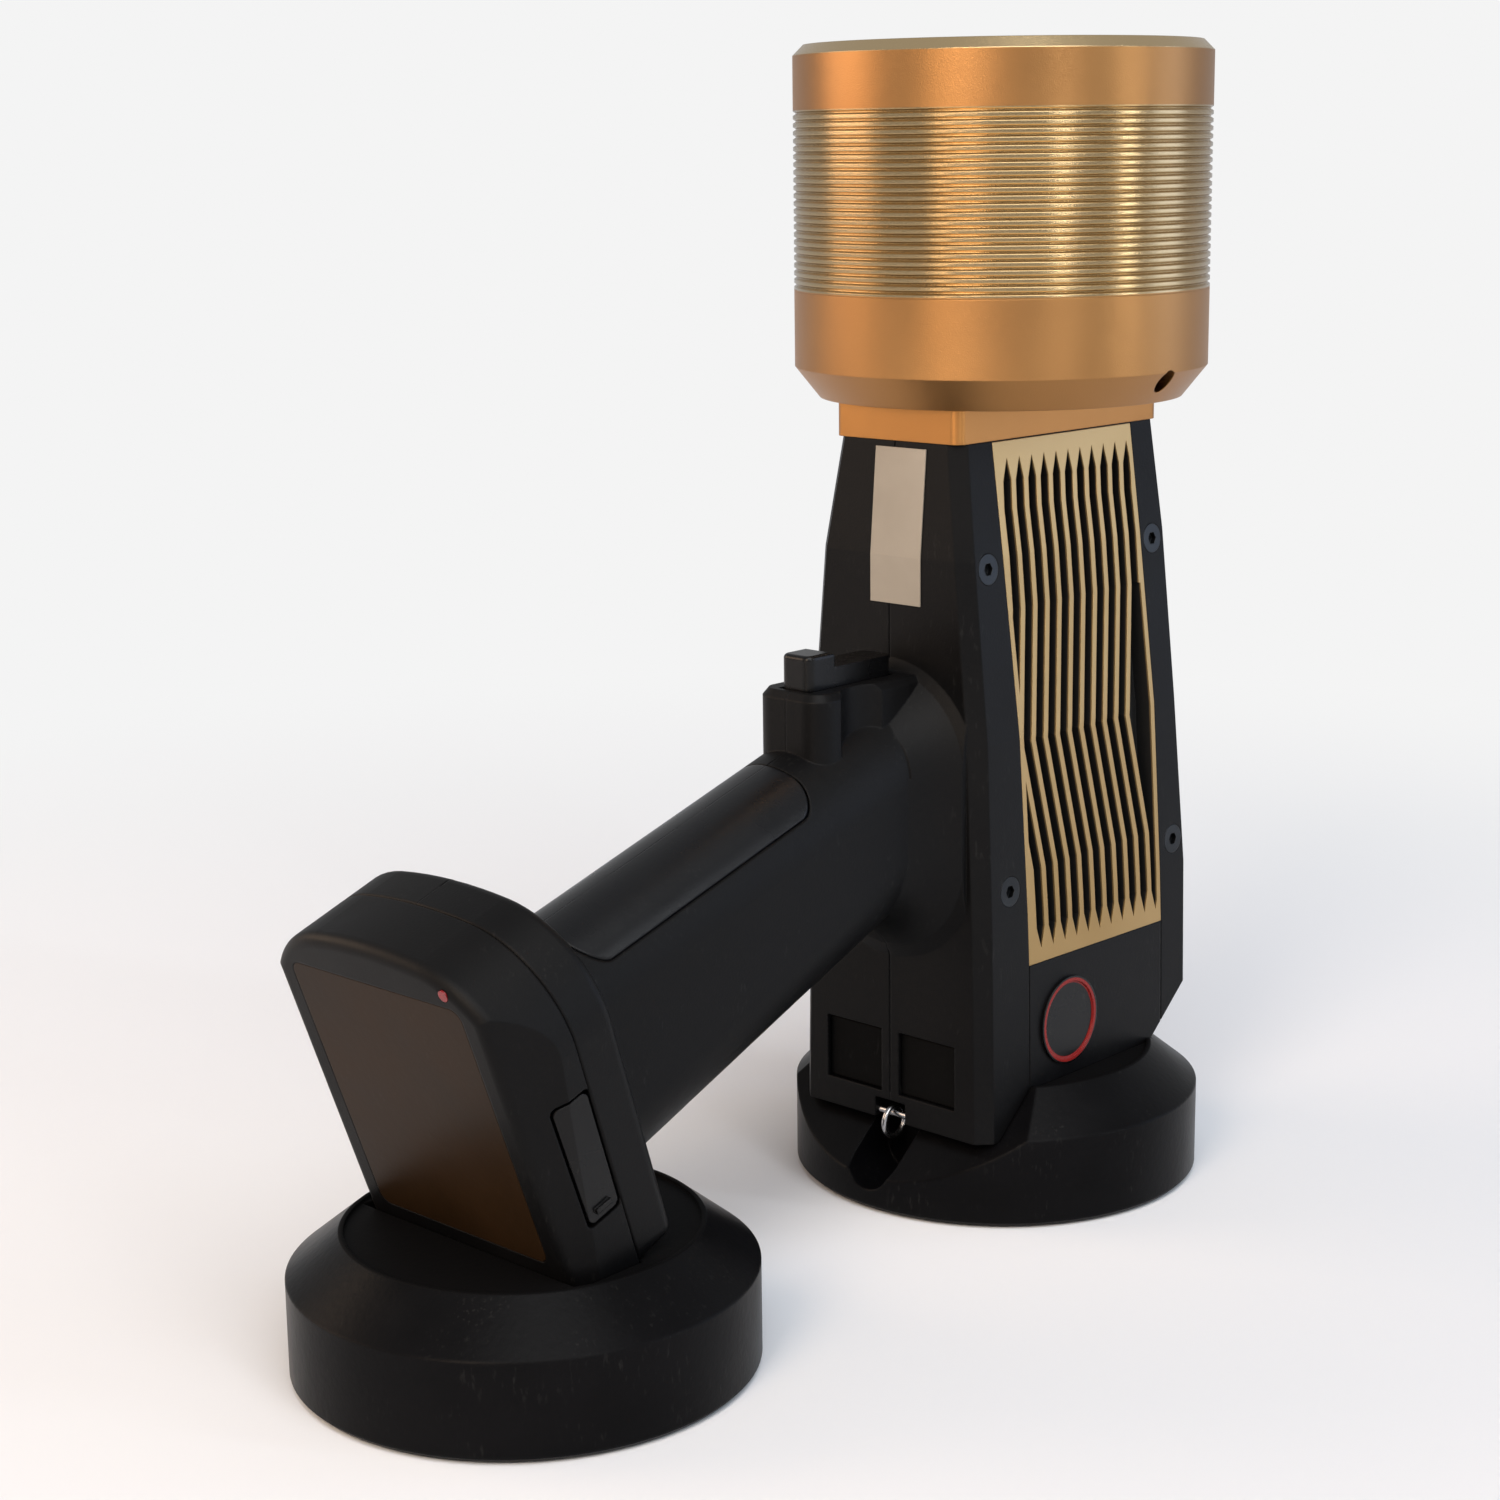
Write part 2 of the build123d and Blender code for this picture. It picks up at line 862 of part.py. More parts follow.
with BuildPart() as seam:
    # shallow groove where the two shells meet
    for low_x, high_x, low_z, high_z in seam_spans:
        with Locations(((low_x + high_x) / 2, 0, (low_z + high_z) / 2)):
            Box(high_x - low_x, seam_width, high_z - low_z)
    add(barrel_solid(seam_depth, shell_top_z + 1, corner_bevel), mode=Mode.SUBTRACT)
    add(grip_solid(grip_root, dock_start + 1, seam_depth), mode=Mode.SUBTRACT)
    add(dock_prism(dock_start + seam_depth, dock_end + 1, dock_bottom, seam_depth), mode=Mode.SUBTRACT)

with BuildPart() as housing:
    add(collar.part)
    add(trigger_box.part)
    # finger scoops beside the trigger
    with Locations((scoop_x, -scoop_y, box_base_z), (scoop_x, scoop_y, box_base_z)):
        Cylinder(
            scoop_radius,
            2 * (box_top_z - box_base_z),
            align=(Align.CENTER, Align.CENTER, Align.MIN),
            mode=Mode.SUBTRACT,
        )
    add(barrel_solid(0, shell_top_z, corner_bevel))
    add(grip_solid(grip_root, dock_start + 1, 0))
    add(dock.part)
    add(seam.part, mode=Mode.SUBTRACT)
    # hollow
    add(barrel_solid(wall, shell_top_z + 1, inner_bevel), mode=Mode.SUBTRACT)
    add(grip_solid(grip_root, dock_end - dock_pocket_depth, grip_wall), mode=Mode.SUBTRACT)
    pocket_start = dock_end - dock_pocket_depth
    add(dock_prism(pocket_start, dock_end + 1, dock_bottom, grip_wall), mode=Mode.SUBTRACT)
    # shelf for the trigger switch and spring
    with Locations(((shelf_front_x + shelf_back_x) / 2, 0, shelf_top_z - shelf_thickness / 2)):
        Box(shelf_back_x - shelf_front_x, grip_width - grip_wall, shelf_thickness)
    # block round the lanyard recess
    block_depth = lanyard_recess_depth + lanyard_block_wall
    block_top = lanyard_recess_top + lanyard_block_wall
    with Locations((front_x + block_depth / 2, 0, (rear_z + block_top) / 2)):
        Box(block_depth, 2 * (lanyard_recess_half_width + lanyard_block_wall), block_top - rear_z)
    # posts for the key board
    with BuildSketch(Plane.YZ.offset(key_board_x)):
        with Locations(*key_posts):
            Circle(key_post_radius)
    extrude(amount=back_x - wall / 2 - key_board_x)
    # trigger openings
    slot_low = trigger_bottom_z - trigger_travel - slide_gap
    with Locations(((trigger_front_x + trigger_back_x) / 2, 0, slot_low)):
        Box(
            trigger_back_x - trigger_front_x + 2 * slide_gap,
            2 * (trigger_half_width + slide_gap),
            lip_top_z,
            align=(Align.CENTER, Align.CENTER, Align.MIN),
            mode=Mode.SUBTRACT,
        )
    with Locations(((stem_front_x + stem_back_x) / 2, 0, shelf_top_z)):
        Box(
            stem_back_x - stem_front_x + 2 * slide_gap,
            2 * (stem_half_width + slide_gap),
            slot_low + 1 - shelf_top_z,
            align=(Align.CENTER, Align.CENTER, Align.MIN),
            mode=Mode.SUBTRACT,
        )
        Box(
            stem_back_x - stem_front_x + 2 * (flange_reach + slide_gap),
            2 * (flange_half_width + slide_gap),
            flange_top_z + slide_gap - shelf_top_z,
            align=(Align.CENTER, Align.CENTER, Align.MIN),
            mode=Mode.SUBTRACT,
        )
    # recess for the grip pads
    add(pad_solid(0, -1, grip_pad_depth), mode=Mode.SUBTRACT)
    # heat sink windows and screw holes
    with BuildSketch(Plane.XZ):
        add(panel_sketch(0))
    extrude(amount=2 * rear_half_width, both=True, mode=Mode.SUBTRACT)
    for side in (-1, 1):
        for x, z in screw_places:
            with Locations(side_plane(x, z, side)):
                CounterSinkHole(screw_shaft_radius + seat_gap, screw_head_room, 2 * wall)
        for x in (panel_left_bottom, panel_left_bottom + panel_width):
            groove = skin_solid(
                side, -1, seam_depth, seam_low_z, panel_bottom_z, x - seam_width / 2, x + seam_width / 2
            )
            add(groove, mode=Mode.SUBTRACT)
    # display seat
    with BuildSketch(display_plane):
        Rectangle(bezel_width, bezel_height)
    extrude(amount=-bezel_thickness, mode=Mode.SUBTRACT)
    with BuildSketch(display_plane):
        Rectangle(collar_window_width, collar_window_height)
    extrude(amount=-2 * wall, mode=Mode.SUBTRACT)
    # key holes
    with BuildSketch(Plane.YZ.offset(back_x + 1)):
        with Locations(*[(y, key_z) for y in key_places]):
            Circle(key_radius + slide_gap)
    extrude(amount=-wall - 2, mode=Mode.SUBTRACT)
    # port windows with their hinge pin holes
    for side in (-1, 1):
        with Locations((front_x, side * port_middle, port_low_z)):
            Box(
                3 * wall,
                port_width,
                port_height,
                align=(Align.CENTER, Align.CENTER, Align.MIN),
                mode=Mode.SUBTRACT,
            )
        with Locations(Location((port_pivot_x, side * port_middle, port_pivot_z), (90, 0, 0))):
            Cylinder(
                port_pin_radius + bore_gap,
                port_width + 2 * port_pin_length - 4 * slide_gap,
                mode=Mode.SUBTRACT,
            )
    # lanyard recess and the bar's bore
    with Locations((front_x + lanyard_recess_depth, 0, lanyard_recess_top)):
        Box(
            2 * lanyard_recess_depth,
            2 * lanyard_recess_half_width,
            2 * (lanyard_recess_top - rear_z),
            align=(Align.MAX, Align.CENTER, Align.MAX),
            mode=Mode.SUBTRACT,
        )
    with Locations(Location((lanyard_bar_x, 0, lanyard_bar_z), (90, 0, 0))):
        Cylinder(
            lanyard_bar_radius + bore_gap,
            2 * (lanyard_recess_half_width + lanyard_bar_end),
            mode=Mode.SUBTRACT,
        )
    # pocket for the dock contacts
    with BuildSketch(grip_plane(pocket_start)):
        with Locations((0, contact_low + contact_height / 2)):
            Rectangle(2 * (contact_half_width + seat_gap), contact_height + 2 * seat_gap)
    extrude(amount=-contact_depth, mode=Mode.SUBTRACT)

with BuildPart() as left_shell:
    add(housing.part)
    split(bisect_by=Plane.XZ, keep=Keep.TOP)
left_shell.part.label = "left_shell"
export_step(left_shell.part, "parts/left_shell.step")

with BuildPart() as right_shell:
    add(housing.part)
    split(bisect_by=Plane.XZ, keep=Keep.BOTTOM)
right_shell.part.label = "right_shell"
export_step(right_shell.part, "parts/right_shell.step")

# Grip pads

with BuildPart() as left_grip_pad:
    add(pad_solid(slide_gap, 0, grip_pad_depth - bore_gap))
    split(bisect_by=Plane.XZ, keep=Keep.TOP)
left_grip_pad.part.label = "left_grip_pad"
export_step(left_grip_pad.part, "parts/left_grip_pad.step")

with BuildPart() as right_grip_pad:
    add(pad_solid(slide_gap, 0, grip_pad_depth - bore_gap))
    split(bisect_by=Plane.XZ, keep=Keep.BOTTOM)
right_grip_pad.part.label = "right_grip_pad"
export_step(right_grip_pad.part, "parts/right_grip_pad.step")

# Heat sinks

with BuildPart() as left_heat_sink:
    add(heat_sink_solid(-1))
left_heat_sink.part.label = "left_heat_sink"
export_step(left_heat_sink.part, "parts/left_heat_sink.step")

with BuildPart() as right_heat_sink:
    add(heat_sink_solid(1))
right_heat_sink.part.label = "right_heat_sink"
export_step(right_heat_sink.part, "parts/right_heat_sink.step")

# Shell screws: countersunk heads with a hex socket


def profile_solid(*points):
    # a turned solid from (radius, height) points along local Z
    with BuildPart() as solid:
        with BuildSketch(Plane.XZ):
            Polygon(*points, align=None)
        revolve(axis=Axis.Z)
    return solid.part


def tilted_plane(angle, distance):
    # across an axis through the middle of the window, tilted from -Z toward -X
    tilt = math.radians(angle)
    along = Vector(-math.sin(tilt), 0, -math.cos(tilt))
    return Plane(origin=Vector(0, 0, tip_top_z) + along * distance, x_dir=(0, 1, 0), z_dir=along)


with BuildPart() as shell_screws:
    for side in (-1, 1):
        for x, z in screw_places:
            seat = side_plane(x, z, side)
            screw = profile_solid(
                (0, 0),
                (screw_head_radius, 0),
                (screw_shaft_radius, -screw_head_depth),
                (screw_shaft_radius, -screw_length),
                (0, -screw_length),
            )
            add(screw.moved(seat.location))
            with BuildSketch(seat):
                RegularPolygon(socket_width / math.sqrt(3), 6)
            extrude(amount=-socket_depth, mode=Mode.SUBTRACT)
shell_screws.part.label = "shell_screws"
export_step(shell_screws.part, "parts/shell_screws.step")

# Trigger group

with BuildPart() as trigger:
    box_align = (Align.MIN, Align.CENTER, Align.MIN)
    with Locations((trigger_front_x, 0, trigger_bottom_z)):
        Box(lip_length, 2 * trigger_half_width, lip_top_z - trigger_bottom_z, align=box_align)
        Box(
            trigger_back_x - trigger_front_x,
            2 * trigger_half_width,
            ledge_top_z - trigger_bottom_z,
            align=box_align,
        )
    upright = trigger.edges().filter_by(Axis.Z).group_by(Axis.X)
    fillet(upright[0] + upright[-1], trigger_corner)
    fillet(trigger.edges().group_by(Axis.Z)[-1], trigger_edge)
    with Locations((stem_front_x, 0, flange_bottom_z)):
        Box(
            stem_back_x - stem_front_x,
            2 * stem_half_width,
            trigger_bottom_z - flange_bottom_z,
            align=box_align,
        )
    with Locations((stem_front_x - flange_reach, 0, flange_bottom_z)):
        Box(
            stem_back_x - stem_front_x + 2 * flange_reach,
            2 * flange_half_width,
            flange_top_z - flange_bottom_z,
            align=box_align,
        )
trigger.part.label = "trigger"
export_step(trigger.part, "parts/trigger.step")


def spring_solid(radius, wire, height, turns):
    # round wire coiled up local Z
    with BuildPart() as solid:
        with BuildLine():
            coil = Helix((height - 2 * wire) / turns, height - 2 * wire, radius, center=(0, 0, wire))
        with BuildSketch(Plane(origin=coil @ 0, z_dir=coil % 0)):
            Circle(wire)
        sweep()
    return solid.part


spring_x = stem_back_x - spring_radius - spring_wire
with BuildPart() as trigger_spring:
    coil_height = flange_bottom_z - shelf_top_z
    coils = spring_solid(spring_radius, spring_wire, coil_height, spring_turns)
    add(coils.moved(Location((spring_x, 0, shelf_top_z))))
trigger_spring.part.label = "trigger_spring"
export_step(trigger_spring.part, "parts/trigger_spring.step")

switch_height = flange_bottom_z - trigger_travel - switch_gap - shelf_top_z
with BuildPart() as trigger_switch:
    with Locations((stem_front_x, 0, shelf_top_z)):
        Box(switch_length, 2 * switch_half_width, switch_height - switch_knob_height, align=box_align)
    with Locations((stem_front_x + switch_length / 2, 0, shelf_top_z)):
        Cylinder(switch_knob_radius, switch_height, align=(Align.CENTER, Align.CENTER, Align.MIN))
trigger_switch.part.label = "trigger_switch"
export_step(trigger_switch.part, "parts/trigger_switch.step")

# Battery pack, in the grip's frame

cavity_end = pack_end - pack_wall


def grip_box(u_low, u_high, y_low, y_high, v_low, v_high):
    # a box in the grip's frame: along the grip, across it, and up its front
    with BuildPart() as solid:
        with BuildSketch(grip_plane(u_low)):
            with Locations((-(y_low + y_high) / 2, (v_low + v_high) / 2)):
                Rectangle(y_high - y_low, v_high - v_low)
        extrude(amount=u_high - u_low)
    return solid.part


def latch_box(side, inset, floor):
    # the latch's rounded outline drawn in by inset, from a floor outward
    low, high = sorted((side * floor, side * 2 * dock_top_half_width))
    with BuildPart() as solid:
        add(
            grip_box(
                latch_start + inset,
                latch_start + latch_width - inset,
                low,
                high,
                latch_low + inset,
                latch_high - inset,
            )
        )
        fillet([e for e in solid.edges() if abs((e % 0.5).Y) > 0.99], latch_corner)
    return solid.part


def side_wedge(side):
    # the wedge cut from the pack's side over its whole height
    with BuildPart() as solid:
        with BuildSketch(strap_plane(pack_bottom - 1)):
            Polygon(
                (recess_start, -side * dock_top_half_width),
                (pack_end, -side * (dock_top_half_width - recess_depth)),
                (pack_end + 2 * recess_depth, -side * (dock_top_half_width - recess_depth)),
                (pack_end + 2 * recess_depth, -side * 2 * dock_top_half_width),
                (recess_start, -side * 2 * dock_top_half_width),
                align=None,
            )
        extrude(amount=dock_crown - pack_bottom + 2)
    return solid.part


def label_solid(room, proud):
    # the label's rounded plate, drawn out all round by room and outward by proud
    with BuildPart() as solid:
        add(
            grip_box(
                pack_end - label_thickness,
                pack_end + proud,
                -label_half_width - room,
                label_half_width + room,
                label_bottom - room,
                label_top + room,
            )
        )
        corners = [e for e in solid.edges() if abs((e % 0.5).dot(grip_direction)) > 0.99]
        fillet(corners, label_corner + room)
    return solid.part


with BuildPart() as pack_case:
    add(dock_prism(dock_end, pack_end, pack_bottom, 0))
    for side in (-1, 1):
        add(side_wedge(side), mode=Mode.SUBTRACT)
    outer_face = pack_case.faces().sort_by(lambda f: f.center().dot(grip_direction))[-1]
    fillet(outer_face.edges(), pack_edge_fillet)
    inner_face = pack_case.faces().sort_by(lambda f: f.center().dot(grip_direction))[0]
    chamfer(inner_face.edges(), joint_chamfer)
    add(
        grip_box(
            dock_end - 1,
            cavity_end,
            -pack_cavity_half_width,
            pack_cavity_half_width,
            pack_bottom + pack_wall,
            pack_cavity_top,
        ),
        mode=Mode.SUBTRACT,
    )
    for side in (-1, 1):
        add(latch_box(side, 0, latch_floor), mode=Mode.SUBTRACT)
    add(label_solid(seat_gap, seat_gap), mode=Mode.SUBTRACT)
    with BuildSketch(grip_plane(pack_end + 1)):
        with Locations((light_side, light_height)):
            Circle(light_radius + bore_gap)
    extrude(amount=-1 - light_length, mode=Mode.SUBTRACT)
pack_case.part.label = "pack_case"
export_step(pack_case.part, "parts/pack_case.step")

with BuildPart() as pack_label:
    add(label_solid(0, 0))
pack_label.part.label = "pack_label"
export_step(pack_label.part, "parts/pack_label.step")

with BuildPart() as charge_light:
    with BuildSketch(grip_plane(pack_end - light_length)):
        with Locations((light_side, light_height)):
            Circle(light_radius)
    extrude(amount=light_length + bore_gap)
charge_light.part.label = "charge_light"
export_step(charge_light.part, "parts/charge_light.step")

inner_low = pack_cavity_half_width - slide_gap
with BuildPart() as pack_inner_plate:
    plate_inset = grip_wall + slide_gap
    plate_start = pocket_start + contact_height / 2
    add(dock_prism(plate_start, dock_end, dock_bottom, plate_inset))
    rim = grip_box(
        dock_end - 1,
        dock_end + spigot_length,
        -inner_low,
        inner_low,
        dock_bottom + plate_inset,
        pack_cavity_top - slide_gap,
    )
    add(rim)
    hollow = grip_box(
        plate_start + inner_plate_floor,
        pack_end,
        pack_wall - inner_low,
        inner_low - pack_wall,
        dock_bottom + plate_inset + pack_wall,
        pack_cavity_top - slide_gap - pack_wall,
    )
    add(hollow, mode=Mode.SUBTRACT)
pack_inner_plate.part.label = "pack_inner_plate"
export_step(pack_inner_plate.part, "parts/pack_inner_plate.step")

cell_u = cavity_end - cell_radius
cell_low = dock_bottom + grip_wall + slide_gap + pack_wall
cell_pitch = (pack_cavity_top - slide_gap - pack_wall - cell_low) / cell_count
with BuildPart() as battery_cells:
    for number in range(cell_count):
        middle = cell_low + cell_pitch * (number + 0.5)
        place = grip_plane(cell_u).from_local_coords(Vector(0, middle, 0))
        with Locations(Location(place, (90, 0, 0))):
            Cylinder(cell_radius, 2 * cell_half_length)
            Cylinder(cell_cap_radius, 2 * (cell_half_length + cell_cap_height))
battery_cells.part.label = "battery_cells"
export_step(battery_cells.part, "parts/battery_cells.step")


def pack_latch_solid(side):
    # pinch latch flush with the pack's side, with a finger ridge near its lower end
    ridge_v = latch_low + latch_groove + latch_ridge_place
    middle_u = latch_start + latch_width / 2
    low, high = sorted((side * latch_inner, side * 2 * dock_top_half_width))
    with BuildPart() as solid:
        add(latch_box(side, latch_groove, latch_inner))
        add(dock_prism(dock_end, pack_end, pack_bottom, latch_sink), mode=Mode.INTERSECT)
        inward = Location((0, -side * latch_sink, 0))
        add(side_wedge(side).moved(inward), mode=Mode.SUBTRACT)
    with BuildPart() as ridge:
        add(
            grip_box(
                middle_u - latch_ridge_half,
                middle_u + latch_ridge_half,
                low,
                high,
                ridge_v,
                ridge_v + latch_ridge_width,
            )
        )
        add(dock_prism(dock_end, pack_end, pack_bottom, -latch_ridge_height), mode=Mode.INTERSECT)
        outward = Location((0, side * latch_ridge_height, 0))
        add(side_wedge(side).moved(outward), mode=Mode.SUBTRACT)
    return solid.part + ridge.part


latch_middle_u = latch_start + latch_width / 2
latch_middle_v = (latch_low + latch_high) / 2


def latch_spring_solid(side):
    place = grip_plane(latch_middle_u).from_local_coords(Vector(-side * latch_floor, latch_middle_v, 0))
    coils = spring_solid(latch_spring_radius, spring_wire, latch_inner - latch_floor, 2)
    return coils.moved(Location(place, (-side * 90, 0, 0)))


with BuildPart() as left_pack_latch:
    add(pack_latch_solid(-1))
left_pack_latch.part.label = "left_pack_latch"
export_step(left_pack_latch.part, "parts/left_pack_latch.step")

with BuildPart() as right_pack_latch:
    add(pack_latch_solid(1))
right_pack_latch.part.label = "right_pack_latch"
export_step(right_pack_latch.part, "parts/right_pack_latch.step")

with BuildPart() as left_latch_spring:
    add(latch_spring_solid(-1))
left_latch_spring.part.label = "left_latch_spring"
export_step(left_latch_spring.part, "parts/left_latch_spring.step")

with BuildPart() as right_latch_spring:
    add(latch_spring_solid(1))
right_latch_spring.part.label = "right_latch_spring"
export_step(right_latch_spring.part, "parts/right_latch_spring.step")

with BuildPart() as dock_contacts:
    add(
        grip_box(
            pocket_start - contact_depth,
            pocket_start,
            -contact_half_width,
            contact_half_width,
            contact_low,
            contact_low + contact_height,
        )
    )
    blade_reach = plate_start - pocket_start
    for number in range(contact_blades):
        y = contact_blade_pitch * (number - (contact_blades - 1) / 2)
        add(
            grip_box(
                pocket_start,
                pocket_start + blade_reach,
                y - contact_blade_half,
                y + contact_blade_half,
                contact_low + 1,
                contact_low + contact_height - 1,
            )
        )
dock_contacts.part.label = "dock_contacts"
export_step(dock_contacts.part, "parts/dock_contacts.step")

# Nose block with its bores

def bore(plane, centre, radius, depth):
    with BuildPart() as solid:
        with BuildSketch(plane):
            with Locations(centre):
                Circle(radius)
        extrude(amount=depth)
    return solid.part


def face_bore(plane, centre, radius, start, depth):
    # a turned solid in a tilted plane, between two distances below it
    return bore(plane.offset(start), centre, radius, depth)


tube_plane = tilted_plane(tube_tilt, 0)
detector_plane = tilted_plane(-detector_tilt, 0)
middle = (0, 0)

with BuildPart() as nose_block:
    nose_middle = (top_front_x + top_back_x) / 2
    with BuildSketch(Plane.XY.offset(shell_top_z)):
        with Locations((nose_middle, 0)):
            RectangleRounded(top_back_x - top_front_x, 2 * top_half_width, nose_corner)
    extrude(amount=nose_top_z - shell_top_z)
    with BuildSketch(Plane.XY.offset(nose_top_z)):
        RectangleRounded(2 * tip_half_length, 2 * tip_half_width, tip_corner)
    extrude(amount=tip_top_z - nose_top_z)
    with Locations(((block_front_x + block_back_x) / 2, 0, block_low_z)):
        Box(
            block_back_x - block_front_x,
            2 * block_half_width,
            shell_top_z - block_low_z,
            align=(Align.CENTER, Align.CENTER, Align.MIN),
        )
    # bores for the tube and the detector, meeting at the window
    add(bore(tube_plane, middle, beam_radius, tube_end), mode=Mode.SUBTRACT)
    add(face_bore(tube_plane, middle, tube_tip_radius + bore_gap, tube_tip, tube_end), mode=Mode.SUBTRACT)
    add(face_bore(tube_plane, middle, tube_body_radius + bore_gap, tube_neck, tube_end), mode=Mode.SUBTRACT)
    add(bore(detector_plane, middle, beam_radius, detector_end), mode=Mode.SUBTRACT)
    add(
        face_bore(detector_plane, middle, detector_tip_radius + bore_gap, detector_tip, tube_end),
        mode=Mode.SUBTRACT,
    )
    add(
        face_bore(detector_plane, middle, detector_body_radius + bore_gap, detector_neck, tube_end),
        mode=Mode.SUBTRACT,
    )
    # slot for the filter wheel, open at the front
    with BuildSketch(tube_plane.offset(wheel_distance - slide_gap)):
        with Locations((0, -wheel_offset)):
            Circle(wheel_radius + slide_gap)
        with Locations((0, -wheel_offset - tip_half_length / 2)):
            Rectangle(2 * (wheel_radius + slide_gap), tip_half_length)
    extrude(amount=wheel_thickness + 2 * slide_gap, mode=Mode.SUBTRACT)
    motor_bore = face_bore(tube_plane, (0, -wheel_offset), motor_radius + bore_gap, motor_start, tube_end)
    add(motor_bore, mode=Mode.SUBTRACT)
    shaft_bore = face_bore(tube_plane, (0, -wheel_offset), shaft_radius + slide_gap, wheel_distance, tube_tip)
    add(shaft_bore, mode=Mode.SUBTRACT)
    with Locations((camera_x, 0, tip_top_z - camera_drop - camera_length)):
        Cylinder(
            camera_radius + bore_gap,
            2 * camera_length,
            align=(Align.CENTER, Align.CENTER, Align.MIN),
            mode=Mode.SUBTRACT,
        )
    with Locations(*[(x, y, tip_top_z) for x in face_xs for y in face_ys]):
        Cylinder(
            face_screw_shaft + bore_gap,
            face_screw_length,
            align=(Align.CENTER, Align.CENTER, Align.MAX),
            mode=Mode.SUBTRACT,
        )
nose_block.part.label = "nose_block"
export_step(nose_block.part, "parts/nose_block.step")

with BuildPart() as xray_tube:
    add(face_bore(tube_plane, middle, tube_tip_radius, tube_tip, tube_neck - tube_tip))
    add(face_bore(tube_plane, middle, tube_body_radius, tube_neck, tube_end - tube_neck))
xray_tube.part.label = "xray_tube"
export_step(xray_tube.part, "parts/xray_tube.step")

with BuildPart() as detector:
    add(face_bore(detector_plane, middle, detector_tip_radius, detector_tip, detector_neck - detector_tip))
    add(face_bore(detector_plane, middle, detector_body_radius, detector_neck, detector_end - detector_neck))
detector.part.label = "detector"
export_step(detector.part, "parts/detector.step")

with BuildPart() as filter_wheel:
    with BuildSketch(tube_plane.offset(wheel_distance)):
        with Locations((0, -wheel_offset)):
            Circle(wheel_radius)
            with PolarLocations(wheel_offset, filter_count, start_angle=90):
                Circle(filter_radius, mode=Mode.SUBTRACT)
            Circle(shaft_radius + bore_gap, mode=Mode.SUBTRACT)
    extrude(amount=wheel_thickness)
filter_wheel.part.label = "filter_wheel"
export_step(filter_wheel.part, "parts/filter_wheel.step")

with BuildPart() as filter_motor:
    add(face_bore(tube_plane, (0, -wheel_offset), motor_radius, motor_start, motor_length))
    shaft_length = motor_start - wheel_distance
    add(face_bore(tube_plane, (0, -wheel_offset), shaft_radius, wheel_distance, shaft_length))
filter_motor.part.label = "filter_motor"
export_step(filter_motor.part, "parts/filter_motor.step")

with BuildPart() as nose_camera:
    with Locations((camera_x, 0, tip_top_z - camera_drop)):
        Cylinder(camera_radius, camera_length, align=(Align.CENTER, Align.CENTER, Align.MAX))
nose_camera.part.label = "nose_camera"
export_step(nose_camera.part, "parts/nose_camera.step")

with BuildPart() as face_plate:
    with BuildSketch(Plane.XY.offset(tip_top_z)):
        RectangleRounded(2 * tip_half_length, 2 * tip_half_width, tip_corner)
        Circle(window_radius, mode=Mode.SUBTRACT)
        with Locations((camera_x, 0)):
            Circle(camera_window_radius, mode=Mode.SUBTRACT)
        with Locations(*[(x, y) for x in face_xs for y in face_ys]):
            Circle(face_screw_shaft + bore_gap, mode=Mode.SUBTRACT)
    extrude(amount=face_thickness)
face_plate.part.label = "face_plate"
export_step(face_plate.part, "parts/face_plate.step")

face_z = tip_top_z + face_thickness
with BuildPart() as window_ring:
    with BuildSketch(Plane.XY.offset(face_z)):
        Circle(window_ring_radius)
        Circle(window_radius, mode=Mode.SUBTRACT)
    extrude(amount=window_ring_height)
    with BuildSketch(Plane.XY.offset(face_z)):
        Circle(window_radius + bore_gap)
    extrude(amount=film_thickness)
window_ring.part.label = "window_ring"
export_step(window_ring.part, "parts/window_ring.step")

with BuildPart() as face_plate_screws:
    with Locations(*[(x, y, face_z) for x in face_xs for y in face_ys]):
        Cylinder(face_screw_head, face_screw_rise, align=(Align.CENTER, Align.CENTER, Align.MIN))
        Cylinder(
            face_screw_shaft,
            face_screw_length,
            align=(Align.CENTER, Align.CENTER, Align.MAX),
        )
face_plate_screws.part.label = "face_plate_screws"
export_step(face_plate_screws.part, "parts/face_plate_screws.step")

# X-ray shield

chamber_radius = shield_radius - cover_wall - bore_gap - spigot_wall

with BuildPart() as shield_base:
    add(
        profile_solid(
            (0, nose_top_z),
            (shield_bottom_radius, nose_top_z),
            (shield_radius, shield_bevel_z),
            (shield_radius, shield_seam_z),
            (chamber_radius + spigot_wall, shield_seam_z),
            (chamber_radius + spigot_wall, shield_seam_z + spigot_height),
            (chamber_radius, shield_seam_z + spigot_height),
            (chamber_radius, face_z),
            (0, face_z),
        )
    )
    with BuildSketch(Plane.XY.offset(nose_top_z)):
        RectangleRounded(
            2 * (tip_half_length + bore_gap),
            2 * (tip_half_width + bore_gap),
            tip_corner,
        )
    extrude(amount=shield_seam_z - nose_top_z, mode=Mode.SUBTRACT)
    with Locations(Location((0, -tip_half_width, set_screw_z), (90, 0, 0))):
        Cylinder(
            set_screw_radius + bore_gap,
            shield_radius,
            align=(Align.CENTER, Align.CENTER, Align.MIN),
            mode=Mode.SUBTRACT,
        )
shield_base.part.label = "shield_base"
export_step(shield_base.part, "parts/shield_base.step")

ridge_pitch = (ridge_top_z - shield_seam_z) / ridge_count
cover_outline = [(shield_radius, shield_seam_z)]
for number in range(ridge_count):
    ridge_z = shield_seam_z + ridge_pitch * number
    cover_outline.append((shield_radius, ridge_z + ridge_pitch * ridge_land))
    cover_outline.append((shield_radius - ridge_depth, ridge_z + ridge_pitch * (1 + ridge_land) / 2))
    cover_outline.append((shield_radius, ridge_z + ridge_pitch))

